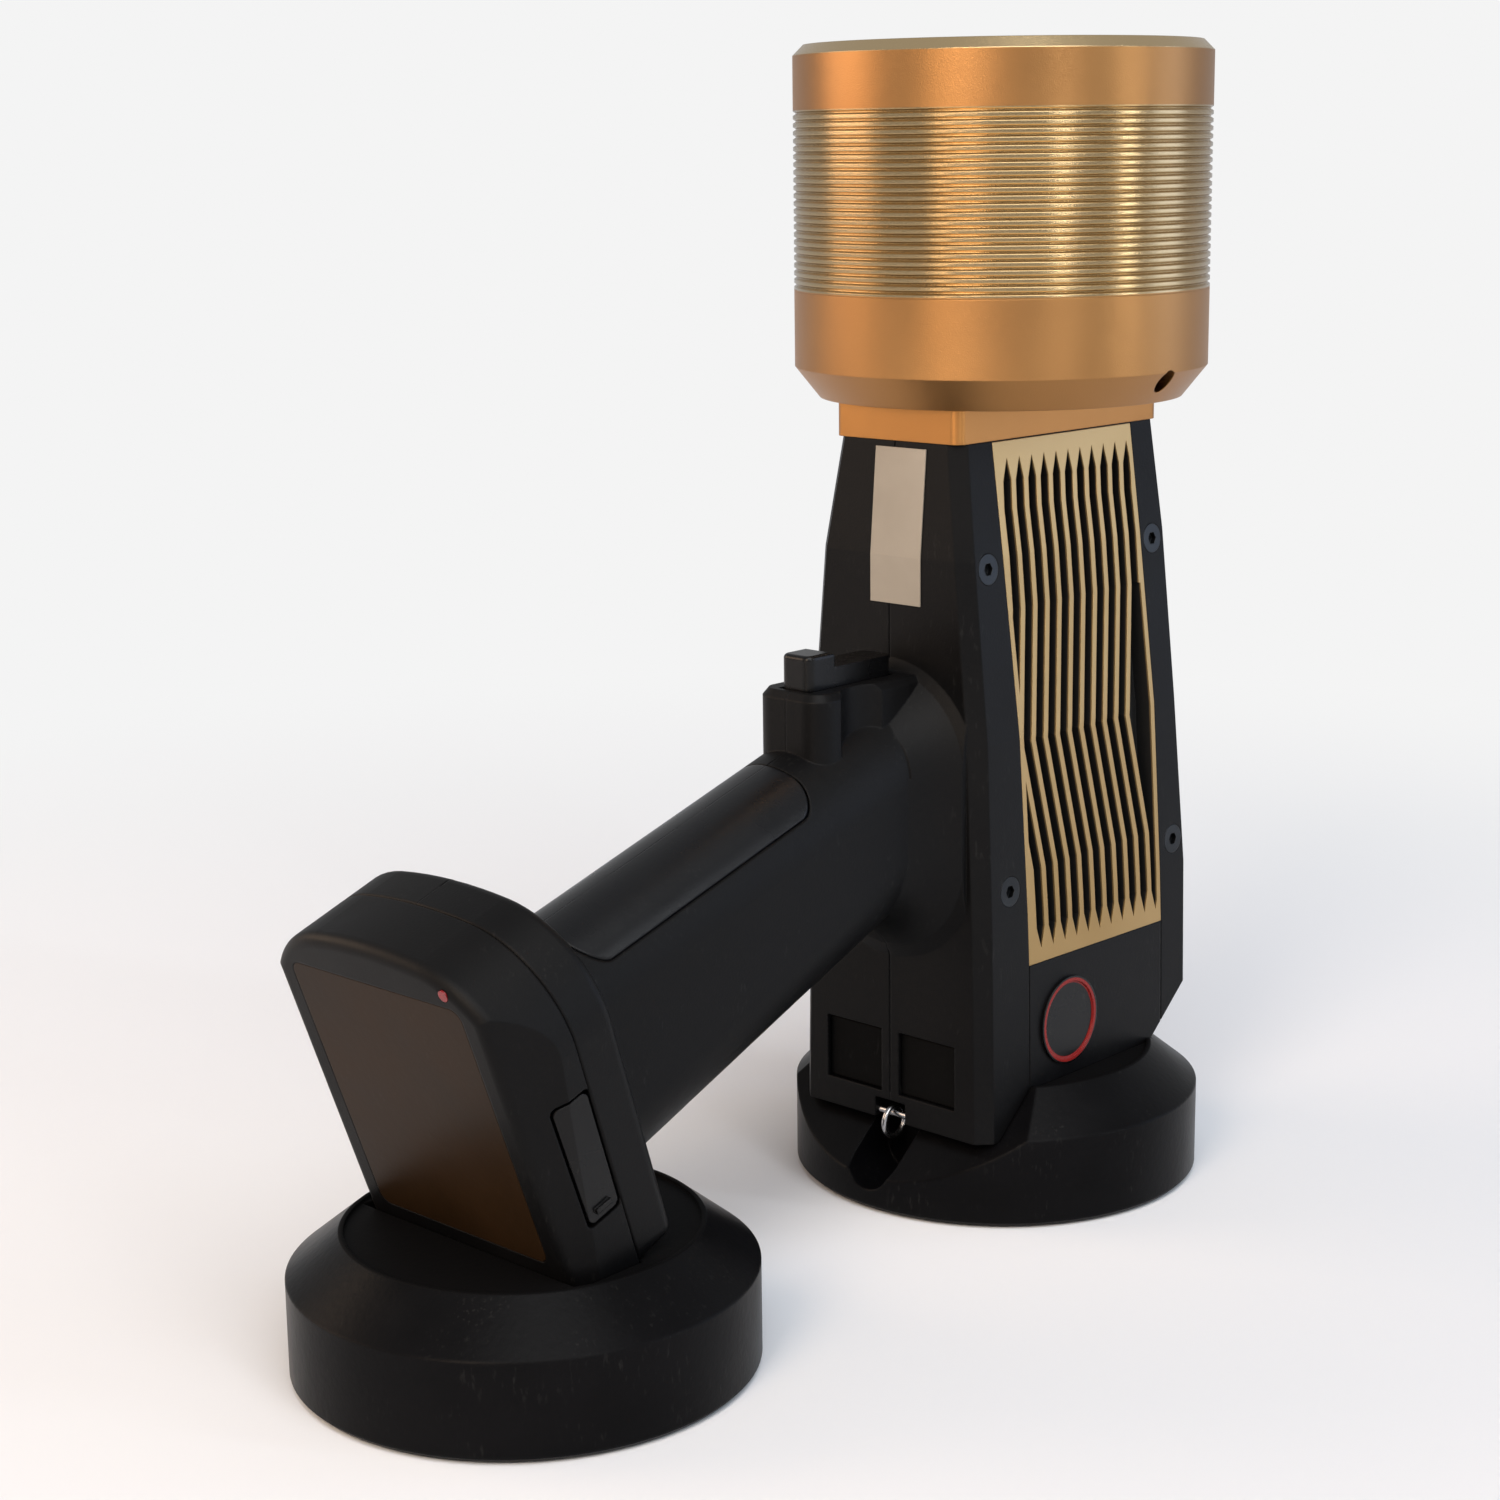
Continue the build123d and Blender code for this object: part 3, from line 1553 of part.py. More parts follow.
with BuildPart() as shield_cover:
    add(
        profile_solid(
            *cover_outline,
            (shield_radius, shield_band_z),
            (shield_top_radius, shield_top_z),
            (0, shield_top_z),
            (0, shield_top_z - cover_roof),
            (shield_radius - cover_wall, shield_top_z - cover_roof),
            (shield_radius - cover_wall, shield_seam_z),
        )
    )
shield_cover.part.label = "shield_cover"
export_step(shield_cover.part, "parts/shield_cover.step")

with BuildPart() as shield_set_screw:
    with Locations(Location((0, -tip_half_width, set_screw_z), (90, 0, 0))):
        Cylinder(set_screw_radius, set_screw_length, align=(Align.CENTER, Align.CENTER, Align.MIN))
    socket_plane = Plane(
        origin=(0, -tip_half_width - set_screw_length, set_screw_z), x_dir=(1, 0, 0), z_dir=(0, -1, 0)
    )
    with BuildSketch(socket_plane):
        RegularPolygon(socket_width / math.sqrt(3), 6)
    extrude(amount=-socket_depth, mode=Mode.SUBTRACT)
shield_set_screw.part.label = "shield_set_screw"
export_step(shield_set_screw.part, "parts/shield_set_screw.step")

# Rear display: local x runs across, local y up the slanted face, z outward

with BuildPart() as display_bezel:
    with BuildSketch(display_plane.offset(-bezel_thickness)):
        Rectangle(bezel_width - 2 * seat_gap, bezel_height - 2 * seat_gap)
    extrude(amount=bezel_thickness)
    with BuildSketch(display_plane.offset(-bezel_collar_depth)):
        Rectangle(collar_window_width - 2 * seat_gap, collar_window_height - 2 * seat_gap)
    extrude(amount=bezel_collar_depth)
    with BuildSketch(display_plane.offset(-bezel_collar_depth)):
        Rectangle(display_width, display_height)
    extrude(amount=bezel_collar_depth, mode=Mode.SUBTRACT)
    with BuildSketch(display_plane.offset(-bezel_thickness)):
        Rectangle(display_width + 2 * glass_rim, display_height + 2 * glass_rim)
    extrude(amount=bezel_thickness, mode=Mode.SUBTRACT)
display_bezel.part.label = "display_bezel"
export_step(display_bezel.part, "parts/display_bezel.step")

with BuildPart() as display_glass:
    with BuildSketch(display_plane.offset(-bezel_thickness)):
        Rectangle(
            display_width + 2 * (glass_rim - seat_gap), display_height + 2 * (glass_rim - seat_gap)
        )
    extrude(amount=glass_thickness)
display_glass.part.label = "display_glass"
export_step(display_glass.part, "parts/display_glass.step")

with BuildPart() as display_panel:
    with BuildSketch(display_plane.offset(-bezel_thickness - panel_module_thickness)):
        Rectangle(display_width - 2 * seat_gap, display_height - 2 * seat_gap)
    extrude(amount=panel_module_thickness)
display_panel.part.label = "display_panel"
export_step(display_panel.part, "parts/display_panel.step")

# Keys on the back face


def key_solid(y):
    with BuildPart() as solid:
        with BuildSketch(Plane.YZ.offset(key_lip_x - key_lip_thickness)):
            with Locations((y, key_z)):
                Circle(key_radius + key_lip)
        extrude(amount=key_lip_thickness)
        with BuildSketch(Plane.YZ.offset(key_lip_x)):
            with Locations((y, key_z)):
                Circle(key_radius)
        extrude(amount=back_x + key_height - key_lip_x)
        fillet(solid.edges().sort_by(Axis.X)[-1], key_edge)
    return solid.part


with BuildPart() as power_button:
    add(key_solid(-key_spacing))
power_button.part.label = "power_button"
export_step(power_button.part, "parts/power_button.step")

with BuildPart() as home_button:
    add(key_solid(0))
home_button.part.label = "home_button"
export_step(home_button.part, "parts/home_button.step")

with BuildPart() as back_button:
    add(key_solid(key_spacing))
back_button.part.label = "back_button"
export_step(back_button.part, "parts/back_button.step")

with BuildPart() as button_board:
    with BuildSketch(Plane.YZ.offset(key_board_x - key_board_thickness)):
        with Locations((0, key_z)):
            Rectangle(2 * key_board_half_width, 2 * key_board_half_height)
    extrude(amount=key_board_thickness)
button_board.part.label = "button_board"
export_step(button_board.part, "parts/button_board.step")

# Ports


def port_cover_solid(side):
    # a lidded door hinged at its top edge, with a finger lip at the bottom
    with BuildPart() as solid:
        with Locations((front_x + port_recess, side * port_middle, port_low_z + slide_gap)):
            Box(
                port_cover_thickness,
                port_width - 2 * slide_gap,
                port_height - 2 * slide_gap,
                align=(Align.MIN, Align.CENTER, Align.MIN),
            )
        top_edges = solid.edges().filter_by(Axis.Y).group_by(Axis.Z)[-1]
        fillet(top_edges, port_cover_thickness / 2 - bore_gap)
        with Locations(Location((port_pivot_x, side * port_middle, port_pivot_z), (90, 0, 0))):
            Cylinder(port_pin_radius, port_width - 2 * slide_gap + 2 * (port_pin_length - slide_gap))
    return solid.part


with BuildPart() as power_port_cover:
    add(port_cover_solid(-1))
power_port_cover.part.label = "power_port_cover"
export_step(power_port_cover.part, "parts/power_port_cover.step")

with BuildPart() as data_port_cover:
    add(port_cover_solid(1))
data_port_cover.part.label = "data_port_cover"
export_step(data_port_cover.part, "parts/data_port_cover.step")

socket_start_x = front_x + port_recess + port_cover_thickness + 2 * slide_gap
with BuildPart() as port_sockets:
    board_low = rear_z + wall
    with Locations((port_board_x, 0, board_low)):
        for side in (-1, 1):
            with Locations((0, side * port_board_middle, 0)):
                Box(
                    port_board_thickness,
                    port_board_width,
                    port_board_height,
                    align=(Align.MIN, Align.CENTER, Align.MIN),
                )
        with Locations((0, 0, port_bridge_low - board_low)):
            Box(
                port_board_thickness,
                2 * port_board_middle,
                board_low + port_board_height - port_bridge_low,
                align=(Align.MIN, Align.CENTER, Align.MIN),
            )
    socket_z = port_low_z + port_height / 2
    for side in (-1, 1):
        with BuildSketch(Plane.YZ.offset(socket_start_x)):
            with Locations((side * port_middle, socket_z)):
                RectangleRounded(2 * socket_half_width, 2 * socket_half_height, socket_corner)
                Rectangle(2 * socket_mouth_half_width, 2 * socket_mouth_half_height, mode=Mode.SUBTRACT)
        extrude(amount=port_board_x - socket_start_x)
port_sockets.part.label = "port_sockets"
export_step(port_sockets.part, "parts/port_sockets.step")

# Lanyard

with BuildPart() as lanyard_pin:
    with Locations(Location((lanyard_bar_x, 0, lanyard_bar_z), (90, 0, 0))):
        Cylinder(lanyard_bar_radius, 2 * (lanyard_recess_half_width + lanyard_bar_end - bore_gap))
lanyard_pin.part.label = "lanyard_pin"
export_step(lanyard_pin.part, "parts/lanyard_pin.step")

ring_drop = lanyard_ring_radius - lanyard_bar_radius - lanyard_wire_radius - bore_gap
with BuildPart() as lanyard_ring:
    with BuildSketch(Plane.XY):
        with Locations((lanyard_bar_x + lanyard_ring_radius, 0)):
            Circle(lanyard_wire_radius)
    revolve(axis=Axis((lanyard_bar_x, 0, 0), (0, 1, 0)))
lanyard_ring.part = lanyard_ring.part.moved(Location((0, 0, lanyard_bar_z - ring_drop)))
lanyard_ring.part.label = "lanyard_ring"
export_step(lanyard_ring.part, "parts/lanyard_ring.step")

# Inner parts on the chassis plate

chassis_height = block_low_z - chassis_low_z
chassis_back_x = chassis_x + chassis_thickness
low_corner = (Align.MIN, Align.CENTER, Align.MIN)

with BuildPart() as chassis_plate:
    with Locations((chassis_x, 0, chassis_low_z)):
        Box(chassis_thickness, 2 * chassis_half_width, chassis_height, align=low_corner)
    posts = [(y, z) for y in standoff_ys for z in (processor_low_z + standoff_inset,
                                                  processor_high_z - standoff_inset)]
    with BuildSketch(Plane.YZ.offset(chassis_back_x)):
        with Locations(*posts):
            Circle(standoff_radius)
    extrude(amount=standoff_height)
    with BuildSketch(Plane.YZ.offset(chassis_x)):
        with Locations(*[(y, (power_low_z + power_high_z) / 2) for y in standoff_ys]):
            Circle(standoff_radius)
    extrude(amount=-standoff_height)
chassis_plate.part.label = "chassis_plate"
export_step(chassis_plate.part, "parts/chassis_plate.step")

with BuildPart() as high_voltage_supply:
    with Locations((chassis_x - supply_depth, 0, supply_low_z)):
        Box(supply_depth, 2 * supply_half_width, supply_high_z - supply_low_z, align=low_corner)
    fillet(high_voltage_supply.edges().filter_by(Axis.Z), supply_corner)
high_voltage_supply.part.label = "high_voltage_supply"
export_step(high_voltage_supply.part, "parts/high_voltage_supply.step")

with BuildPart() as processor_board:
    board_x = chassis_back_x + standoff_height
    with Locations((board_x, 0, processor_low_z)):
        Box(board_thickness, 2 * processor_half_width, processor_high_z - processor_low_z, align=low_corner)
    with Locations(*[(board_x + board_thickness, 0, z - chip_size / 2) for z in chip_places]):
        Box(chip_height, chip_size, chip_size, align=low_corner)
processor_board.part.label = "processor_board"
export_step(processor_board.part, "parts/processor_board.step")

with BuildPart() as power_board:
    board_x = chassis_x - standoff_height - board_thickness
    with Locations((board_x, 0, power_low_z)):
        Box(board_thickness, 2 * processor_half_width, power_high_z - power_low_z, align=low_corner)
    with Locations((board_x, 0, (power_low_z + power_high_z) / 2 - chip_size / 2)):
        Box(coil_depth, chip_size, chip_size, align=(Align.MAX, Align.CENTER, Align.MIN))
power_board.part.label = "power_board"
export_step(power_board.part, "parts/power_board.step")

with BuildPart() as speaker:
    with Locations((speaker_x, 0, rear_z + wall)):
        Cylinder(speaker_radius, speaker_height, align=(Align.CENTER, Align.CENTER, Align.MIN))
speaker.part.label = "speaker"
export_step(speaker.part, "parts/speaker.step")

# Plates and badges

with BuildPart() as id_plate:
    with BuildSketch(Plane.XZ):
        Polygon(
            (front_face(plate_low_z), plate_low_z),
            (front_face(neck_z), neck_z),
            (front_face(plate_high_z), plate_high_z),
            (front_face(plate_high_z) - plate_thickness, plate_high_z),
            (front_face(neck_z) - plate_thickness, neck_z),
            (front_face(plate_low_z) - plate_thickness, plate_low_z),
            align=None,
        )
    extrude(amount=rear_half_width, both=True)
    with Locations(((front_x, (plate_left_y + plate_right_y) / 2, neck_z))):
        Box(
            2 * wall + 4,
            plate_right_y - plate_left_y,
            2 * (plate_high_z - plate_low_z),
            mode=Mode.INTERSECT,
        )
id_plate.part.label = "id_plate"
export_step(id_plate.part, "parts/id_plate.step")


def badge_solid(side):
    with BuildPart() as solid:
        with BuildSketch(side_plane(badge_x, badge_z, side)):
            Circle(badge_radius)
        extrude(amount=badge_thickness)
        with BuildSketch(side_plane(badge_x, badge_z, side)):
            Circle(badge_radius)
            Circle(badge_radius - badge_ring_width, mode=Mode.SUBTRACT)
        extrude(amount=badge_ring_height)
    return solid.part


with BuildPart() as left_badge:
    add(badge_solid(-1))
left_badge.part.label = "left_badge"
export_step(left_badge.part, "parts/left_badge.step")

with BuildPart() as right_badge:
    add(badge_solid(1))
right_badge.part.label = "right_badge"
export_step(right_badge.part, "parts/right_badge.step")
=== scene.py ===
import bpy
import bmesh
import math
from mathutils import Matrix, Vector


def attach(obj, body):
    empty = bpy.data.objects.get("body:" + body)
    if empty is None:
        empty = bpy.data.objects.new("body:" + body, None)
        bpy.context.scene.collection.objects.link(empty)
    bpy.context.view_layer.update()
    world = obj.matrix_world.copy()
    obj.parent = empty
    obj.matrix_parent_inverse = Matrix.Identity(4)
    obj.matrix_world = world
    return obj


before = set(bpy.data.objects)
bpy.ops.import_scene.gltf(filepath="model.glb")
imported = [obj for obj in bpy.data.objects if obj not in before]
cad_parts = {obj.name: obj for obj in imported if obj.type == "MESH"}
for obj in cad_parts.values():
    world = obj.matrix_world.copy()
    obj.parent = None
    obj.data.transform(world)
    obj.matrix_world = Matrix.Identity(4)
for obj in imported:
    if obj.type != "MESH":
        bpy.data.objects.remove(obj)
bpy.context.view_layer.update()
print("frame loaded:", len(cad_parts), "nodes")

mm = 0.001
scene = bpy.context.scene


def hexColour(code):
    # sRGB hex to linear RGBA
    parts = [int(code[i:i + 2], 16) / 255 for i in (1, 3, 5)]
    return [c / 12.92 if c <= 0.04045 else ((c + 0.055) / 1.055) ** 2.4 for c in parts] + [1]


def addNode(tree, kind, settings=None, links=None):
    # settings: attributes and input values by name; links: input name or number to an output socket
    node = tree.nodes.new("ShaderNode" + kind)
    for name, value in (settings or {}).items():
        if isinstance(name, str) and hasattr(node, name):
            setattr(node, name, value)
        else:
            node.inputs[name].default_value = value
    for name, socket in (links or {}).items():
        tree.links.new(socket, node.inputs[name])
    return node


def newMaterial(name):
    material = bpy.data.materials.new(name)
    material.use_nodes = True
    tree = material.node_tree
    tree.nodes.clear()
    output = addNode(tree, "OutputMaterial")
    return material, tree, output


def colourRamp(tree, factor, stops, blend="LINEAR"):
    ramp = addNode(tree, "ValToRGB", links={"Fac": factor})
    ramp.color_ramp.interpolation = blend
    elements = ramp.color_ramp.elements
    while len(elements) < len(stops):
        elements.new(0.5)
    for element, (place, colour) in zip(elements, stops):
        element.position = place
        element.color = colour if isinstance(colour, (list, tuple)) else [colour] * 3 + [1]
    return ramp.outputs["Color"]


def mixColour(tree, factor, first, second):
    node = addNode(tree, "Mix", {"data_type": "RGBA"})
    for index, value in ((0, factor), (6, first), (7, second)):
        if hasattr(value, "node"):
            tree.links.new(value, node.inputs[index])
        else:
            node.inputs[index].default_value = value
    return node.outputs[2]


def sums(tree, operation, first, second=0.0, clamp=False):
    # one step of arithmetic on sockets or plain values
    node = addNode(tree, "Math", {"operation": operation, "use_clamp": clamp})
    for index, value in ((0, first), (1, second)):
        if hasattr(value, "node"):
            tree.links.new(value, node.inputs[index])
        else:
            node.inputs[index].default_value = value
    return node.outputs[0]


def placeParts(tree):
    place = addNode(tree, "TexCoord").outputs["Object"]
    split = addNode(tree, "SeparateXYZ", links={"Vector": place})
    return place, split.outputs["X"], split.outputs["Y"], split.outputs["Z"]


def stepUp(tree, value, start, soft):
    # 0 below start, 1 above start + soft, in metres
    return sums(tree, "DIVIDE", sums(tree, "SUBTRACT", value, start), soft, clamp=True)


def radiusFrom(tree, first, second, centre):
    # distance in one plane from a centre
    a = sums(tree, "SUBTRACT", first, centre[0])
    b = sums(tree, "SUBTRACT", second, centre[1])
    squares = sums(tree, "ADD", sums(tree, "MULTIPLY", a, a), sums(tree, "MULTIPLY", b, b))
    return sums(tree, "SQRT", squares)


# One entry per finish. grain is its texture in mm, edge the softened edge in mm, gloss the specular level,
# scuff how strongly fine rubbed marks lighten it. mouldCloud is the slow change of tone, in mm
mouldCloud = 28
moulded = {
    # injection moulded ABS with a spark-eroded texture, satin black
    "texturedAbs": dict(low="#050506", high="#0A0A0B", rough=(0.40, 0.52), grain=0.45, bump=0.16, edge=0.6,
                        gloss=0.12, scuff=0.06),
    # smooth overmoulded elastomer on the grip's front
    "gripElastomer": dict(low="#06070A", high="#0B0C0F", rough=(0.24, 0.34), grain=0.9, bump=0.05, edge=0.6,
                          gloss=0.26, scuff=0.06),
    # cast urethane of the feet, softly shining
    "footUrethane": dict(low="#050506", high="#0B0B0D", rough=(0.28, 0.42), grain=1.6, bump=0.06, edge=0.9,
                         gloss=0.07, scuff=0.07),
    # polished black ABS of the keys and latches
    "smoothAbs": dict(low="#050506", high="#09090A", rough=(0.22, 0.32), grain=0.6, bump=0.04, edge=0.4,
                      gloss=0.22, scuff=0.08),
    # flexible matt elastomer of the port covers
    "coverRubber": dict(low="#030303", high="#060606", rough=(0.6, 0.75), grain=0.5, bump=0.08, edge=0.3,
                        gloss=0.07, scuff=0.05),
    # glossy laminated film on the pack, dark, with a brown tint that is a painted warm reflection
    "labelFilm": dict(low="#21160B", high="#2B1D10", rough=(0.30, 0.40), grain=2.5, bump=0.02, edge=0.2,
                      gloss=0.08, scuff=0.06),
    # matt rubber sheet under the feet
    "rubberSheet": dict(low="#101010", high="#1C1C1C", rough=(0.75, 0.9), grain=0.8, bump=0.2, edge=0.3,
                        gloss=0.2, scuff=0.2),
    # white printed film, slightly creamy, coloured grey as painted shade
    "whiteFilm": dict(low="#8E867A", high="#9C9488", rough=(0.38, 0.5), grain=3.0, bump=0.02, edge=0.1,
                      gloss=0.35, scuff=0.0),
    # translucent red lens of the charge light
    "redLens": dict(low="#5E0A10", high="#8A1219", rough=(0.2, 0.3), grain=0.8, bump=0.02, edge=0.1,
                    gloss=0.5, scuff=0.0),
    # green solder mask over fibreglass
    "solderMask": dict(low="#0C4A22", high="#12602F", rough=(0.35, 0.45), grain=0.8, bump=0.05, edge=0.1,
                       gloss=0.5, scuff=0.0),
    # shrink wrap round the cells
    "cellWrap": dict(low="#1B4E9B", high="#2A63B4", rough=(0.25, 0.35), grain=1.5, bump=0.03, edge=0.3,
                     gloss=0.5, scuff=0.0),
    # switched-off screen
    "darkScreen": dict(low="#07090C", high="#0C1014", rough=(0.1, 0.16), grain=2.0, bump=0.0, edge=0.1,
                       gloss=0.5, scuff=0.0),
    # amber polyimide film over the window
    "polyimideFilm": dict(low="#8A5A1C", high="#A97328", rough=(0.15, 0.25), grain=2.0, bump=0.02, edge=0.1,
                          gloss=0.5, scuff=0.0),
}


# Rubbed marks: the width of a mark and of a patch of them, in mm, and how much of each shows
scuffLook = dict(mark=0.9, markFrom=0.60, markTo=0.72, patch=11, patchFrom=0.50, patchTo=0.66,
                 stretch=(1.0, 1.0, 0.3), turn=(0.5, 0.3, 0.0), colour="#5A5A58")


def noiseBetween(tree, place, size, low, high):
    # 0 to 1 where a noise of one size, in mm, lies between two levels
    noise = addNode(tree, "TexNoise", {"Scale": 1 / (size * mm), "Detail": 2.0}, {"Vector": place})
    levels = addNode(tree, "MapRange", {"From Min": low, "From Max": high}, {"Value": noise.outputs["Fac"]})
    return levels.outputs["Result"]


def scuffMarks(tree, place):
    # sparse short rubbed marks, long in one direction
    look = scuffLook
    drawn = addNode(tree, "Mapping", {"Scale": look["stretch"], "Rotation": look["turn"]}, {"Vector": place})
    fine = noiseBetween(tree, drawn.outputs[0], look["mark"], look["markFrom"], look["markTo"])
    wide = noiseBetween(tree, place, look["patch"], look["patchFrom"], look["patchTo"])
    return sums(tree, "MULTIPLY", fine, wide)


def mouldedMaterial(name, look, paint=None):
    # paint changes the colour and roughness sockets where a piece has a second finish, like the badge's
    # ring, and for the painted shade on the feet
    material, tree, output = newMaterial(name)
    place, x, y, z = placeParts(tree)
    grain = addNode(tree, "TexNoise", {"Scale": 1 / (look["grain"] * mm), "Detail": 3.0, "Roughness": 0.6},
                    {"Vector": place})
    cloud = addNode(tree, "TexNoise", {"Scale": 1 / (mouldCloud * mm), "Detail": 4.0, "Roughness": 0.55},
                    {"Vector": place})
    colours = [(0.3, hexColour(look["low"])), (0.72, hexColour(look["high"]))]
    colour = colourRamp(tree, cloud.outputs["Fac"], colours)
    rough = colourRamp(tree, cloud.outputs["Fac"], [(0.3, look["rough"][0]), (0.7, look["rough"][1])])
    if look["scuff"]:
        marks = scuffMarks(tree, place)
        share = sums(tree, "MULTIPLY", marks, look["scuff"])
        colour = mixColour(tree, share, colour, hexColour(scuffLook["colour"]))
    if paint:
        colour, rough = paint(tree, colour, rough, (x, y, z))
    soft = addNode(tree, "Bevel", {"samples": 4, "Radius": look["edge"] * mm})
    bump = addNode(tree, "Bump", {"Strength": 1.0, "Distance": look["bump"] * look["grain"] * mm * 0.5},
                   {"Height": grain.outputs["Fac"], "Normal": soft.outputs["Normal"]})
    shader = addNode(tree, "BsdfPrincipled", {"IOR": 1.5, "Specular IOR Level": look["gloss"]}, {
        "Base Color": colour, "Roughness": rough, "Normal": bump.outputs["Normal"]})
    tree.links.new(shader.outputs["BSDF"], output.inputs["Surface"])
    return material


metals = {
    # bead-blasted and anodised aluminium, tan gold
    "blastedGold": dict(low="#9C7044", high="#AE804F", rough=(0.33, 0.40), grain=0.30, bump=0.10, edge=0.35,
                        cloud=60),
    # the same anodising on the nose, more orange
    "noseGold": dict(low="#A87440", high="#B88149", rough=(0.30, 0.38), grain=0.30, bump=0.08, edge=0.35,
                     cloud=40),
    # the heat sinks' anodising, more khaki
    "sinkBase": dict(low="#A98B5C", high="#B99C6E", rough=(0.32, 0.40), grain=0.30, bump=0.08, edge=0.25,
                     cloud=50),
    # brushed stainless and zinc-plated steel
    "brightSteel": dict(low="#919193", high="#B6B6B8", rough=(0.18, 0.3), grain=0.5, bump=0.03, edge=0.2,
                        cloud=18),
    # black-oxide screw steel
    "oxideSteel": dict(low="#2B2D2F", high="#3A3D40", rough=(0.3, 0.45), grain=0.4, bump=0.06, edge=0.2,
                       cloud=18),
    # plated brass of contacts and the filter wheel
    "platedBrass": dict(low="#B08A3E", high="#CBA75A", rough=(0.2, 0.32), grain=0.5, bump=0.03, edge=0.2,
                        cloud=18),
}


def metalMaterial(name, look, paint=None):
    material, tree, output = newMaterial(name)
    place, x, y, z = placeParts(tree)
    grain = addNode(tree, "TexNoise", {"Scale": 1 / (look["grain"] * mm), "Detail": 3.0}, {"Vector": place})
    cloud = addNode(tree, "TexNoise", {"Scale": 1 / (look["cloud"] * mm), "Detail": 3.0}, {"Vector": place})
    colours = [(0.3, hexColour(look["low"])), (0.7, hexColour(look["high"]))]
    colour = colourRamp(tree, cloud.outputs["Fac"], colours)
    rough = colourRamp(tree, cloud.outputs["Fac"], [(0.3, look["rough"][0]), (0.7, look["rough"][1])])
    metallic = None
    if paint:
        colour, rough, metallic = paint(tree, colour, rough, (x, y, z))
    soft = addNode(tree, "Bevel", {"samples": 4, "Radius": look["edge"] * mm})
    bump = addNode(tree, "Bump", {"Strength": 1.0, "Distance": look["bump"] * look["grain"] * mm},
                   {"Height": grain.outputs["Fac"], "Normal": soft.outputs["Normal"]})
    shader = addNode(tree, "BsdfPrincipled", {"Metallic": 1.0}, {
        "Base Color": colour, "Roughness": rough, "Normal": bump.outputs["Normal"]})
    if metallic:
        tree.links.new(metallic, shader.inputs["Metallic"])
    tree.links.new(shader.outputs["BSDF"], output.inputs["Surface"])
    return material


# Bright-cut ridges of the shield between two heights, and the cut edge at its top, in mm
shieldLook = dict(ridgeLow=206.4, ridgeHigh=245.4, edgeLow=257.2, edgeRadius=43.0, ridge="#B39A72",
                  edge="#CDB48A", ridgeRough=0.16, edgeRough=0.22, soft=0.2, edgeSoft=0.1)


def paintShield(tree, colour, rough, place):
    z = place[2]
    soft = shieldLook["soft"] * mm
    low = stepUp(tree, z, shieldLook["ridgeLow"] * mm, soft)
    high = stepUp(tree, z, shieldLook["ridgeHigh"] * mm, soft)
    ridges = sums(tree, "SUBTRACT", low, high)
    radius = radiusFrom(tree, place[0], place[1], (0, 0))
    outside = stepUp(tree, radius, shieldLook["edgeRadius"] * mm, soft)
    raised = stepUp(tree, z, shieldLook["edgeLow"] * mm, shieldLook["edgeSoft"] * mm)
    edge = sums(tree, "MULTIPLY", raised, outside)
    colour = mixColour(tree, ridges, colour, hexColour(shieldLook["ridge"]))
    colour = mixColour(tree, edge, colour, hexColour(shieldLook["edge"]))
    rough = mixColour(tree, ridges, rough, [shieldLook["ridgeRough"]] * 3 + [1])
    rough = mixColour(tree, edge, rough, [shieldLook["edgeRough"]] * 3 + [1])
    return colour, rough, None


# Heat sink: gold on the fins' faces, painted shade in the slots, black and not metallic below the faces.
# widths are the barrel's half widths by height
sinkLook = dict(black="#030303", rough=0.6, depth=0.12, fade=0.4, top=180.0, most=30.0,
                widths=[(19.2, 27.8), (70.0, 26.8), (110.0, 25.3), (150.0, 21.5), (175.0, 17.7)])


def paintSinkSlotShade(tree, colour, rough, place):
    x, y, z = place
    height = sums(tree, "DIVIDE", z, sinkLook["top"] * mm)
    stops = [(level / sinkLook["top"], width / sinkLook["most"]) for level, width in sinkLook["widths"]]
    width = sums(tree, "MULTIPLY", colourRamp(tree, height, stops), sinkLook["most"] * mm)
    depth = sums(tree, "SUBTRACT", width, sums(tree, "ABSOLUTE", y))
    # painted shade: deeper than the fins' faces the slots turn black and lose their metal
    slotShade = stepUp(tree, depth, sinkLook["depth"] * mm, sinkLook["fade"] * mm)
    colour = mixColour(tree, slotShade, colour, hexColour(sinkLook["black"]))
    rough = mixColour(tree, slotShade, rough, [sinkLook["rough"]] * 3 + [1])
    return colour, rough, sums(tree, "SUBTRACT", 1.0, slotShade)


# Badge: black disc with an enamelled red ring, in mm
badgeLook = dict(centre=(-8.1, 41.8), inner=8.5, outer=9.7, soft=0.15, red="#7E1A17")


def paintBadge(tree, colour, rough, place):
    radius = radiusFrom(tree, place[0], place[2], [c * mm for c in badgeLook["centre"]])
    inside = stepUp(tree, radius, badgeLook["inner"] * mm, badgeLook["soft"] * mm)
    outside = stepUp(tree, radius, badgeLook["outer"] * mm, badgeLook["soft"] * mm)
    ring = sums(tree, "SUBTRACT", inside, outside)
    return mixColour(tree, ring, colour, hexColour(badgeLook["red"])), rough


# Feet: painted shade, darker and matt, fills the top inside the rim, in mm
footLook = dict(shadedInside=36.6, level=28.0, soft=0.2, colour="#050506", rough=0.7, spacing=151.7)


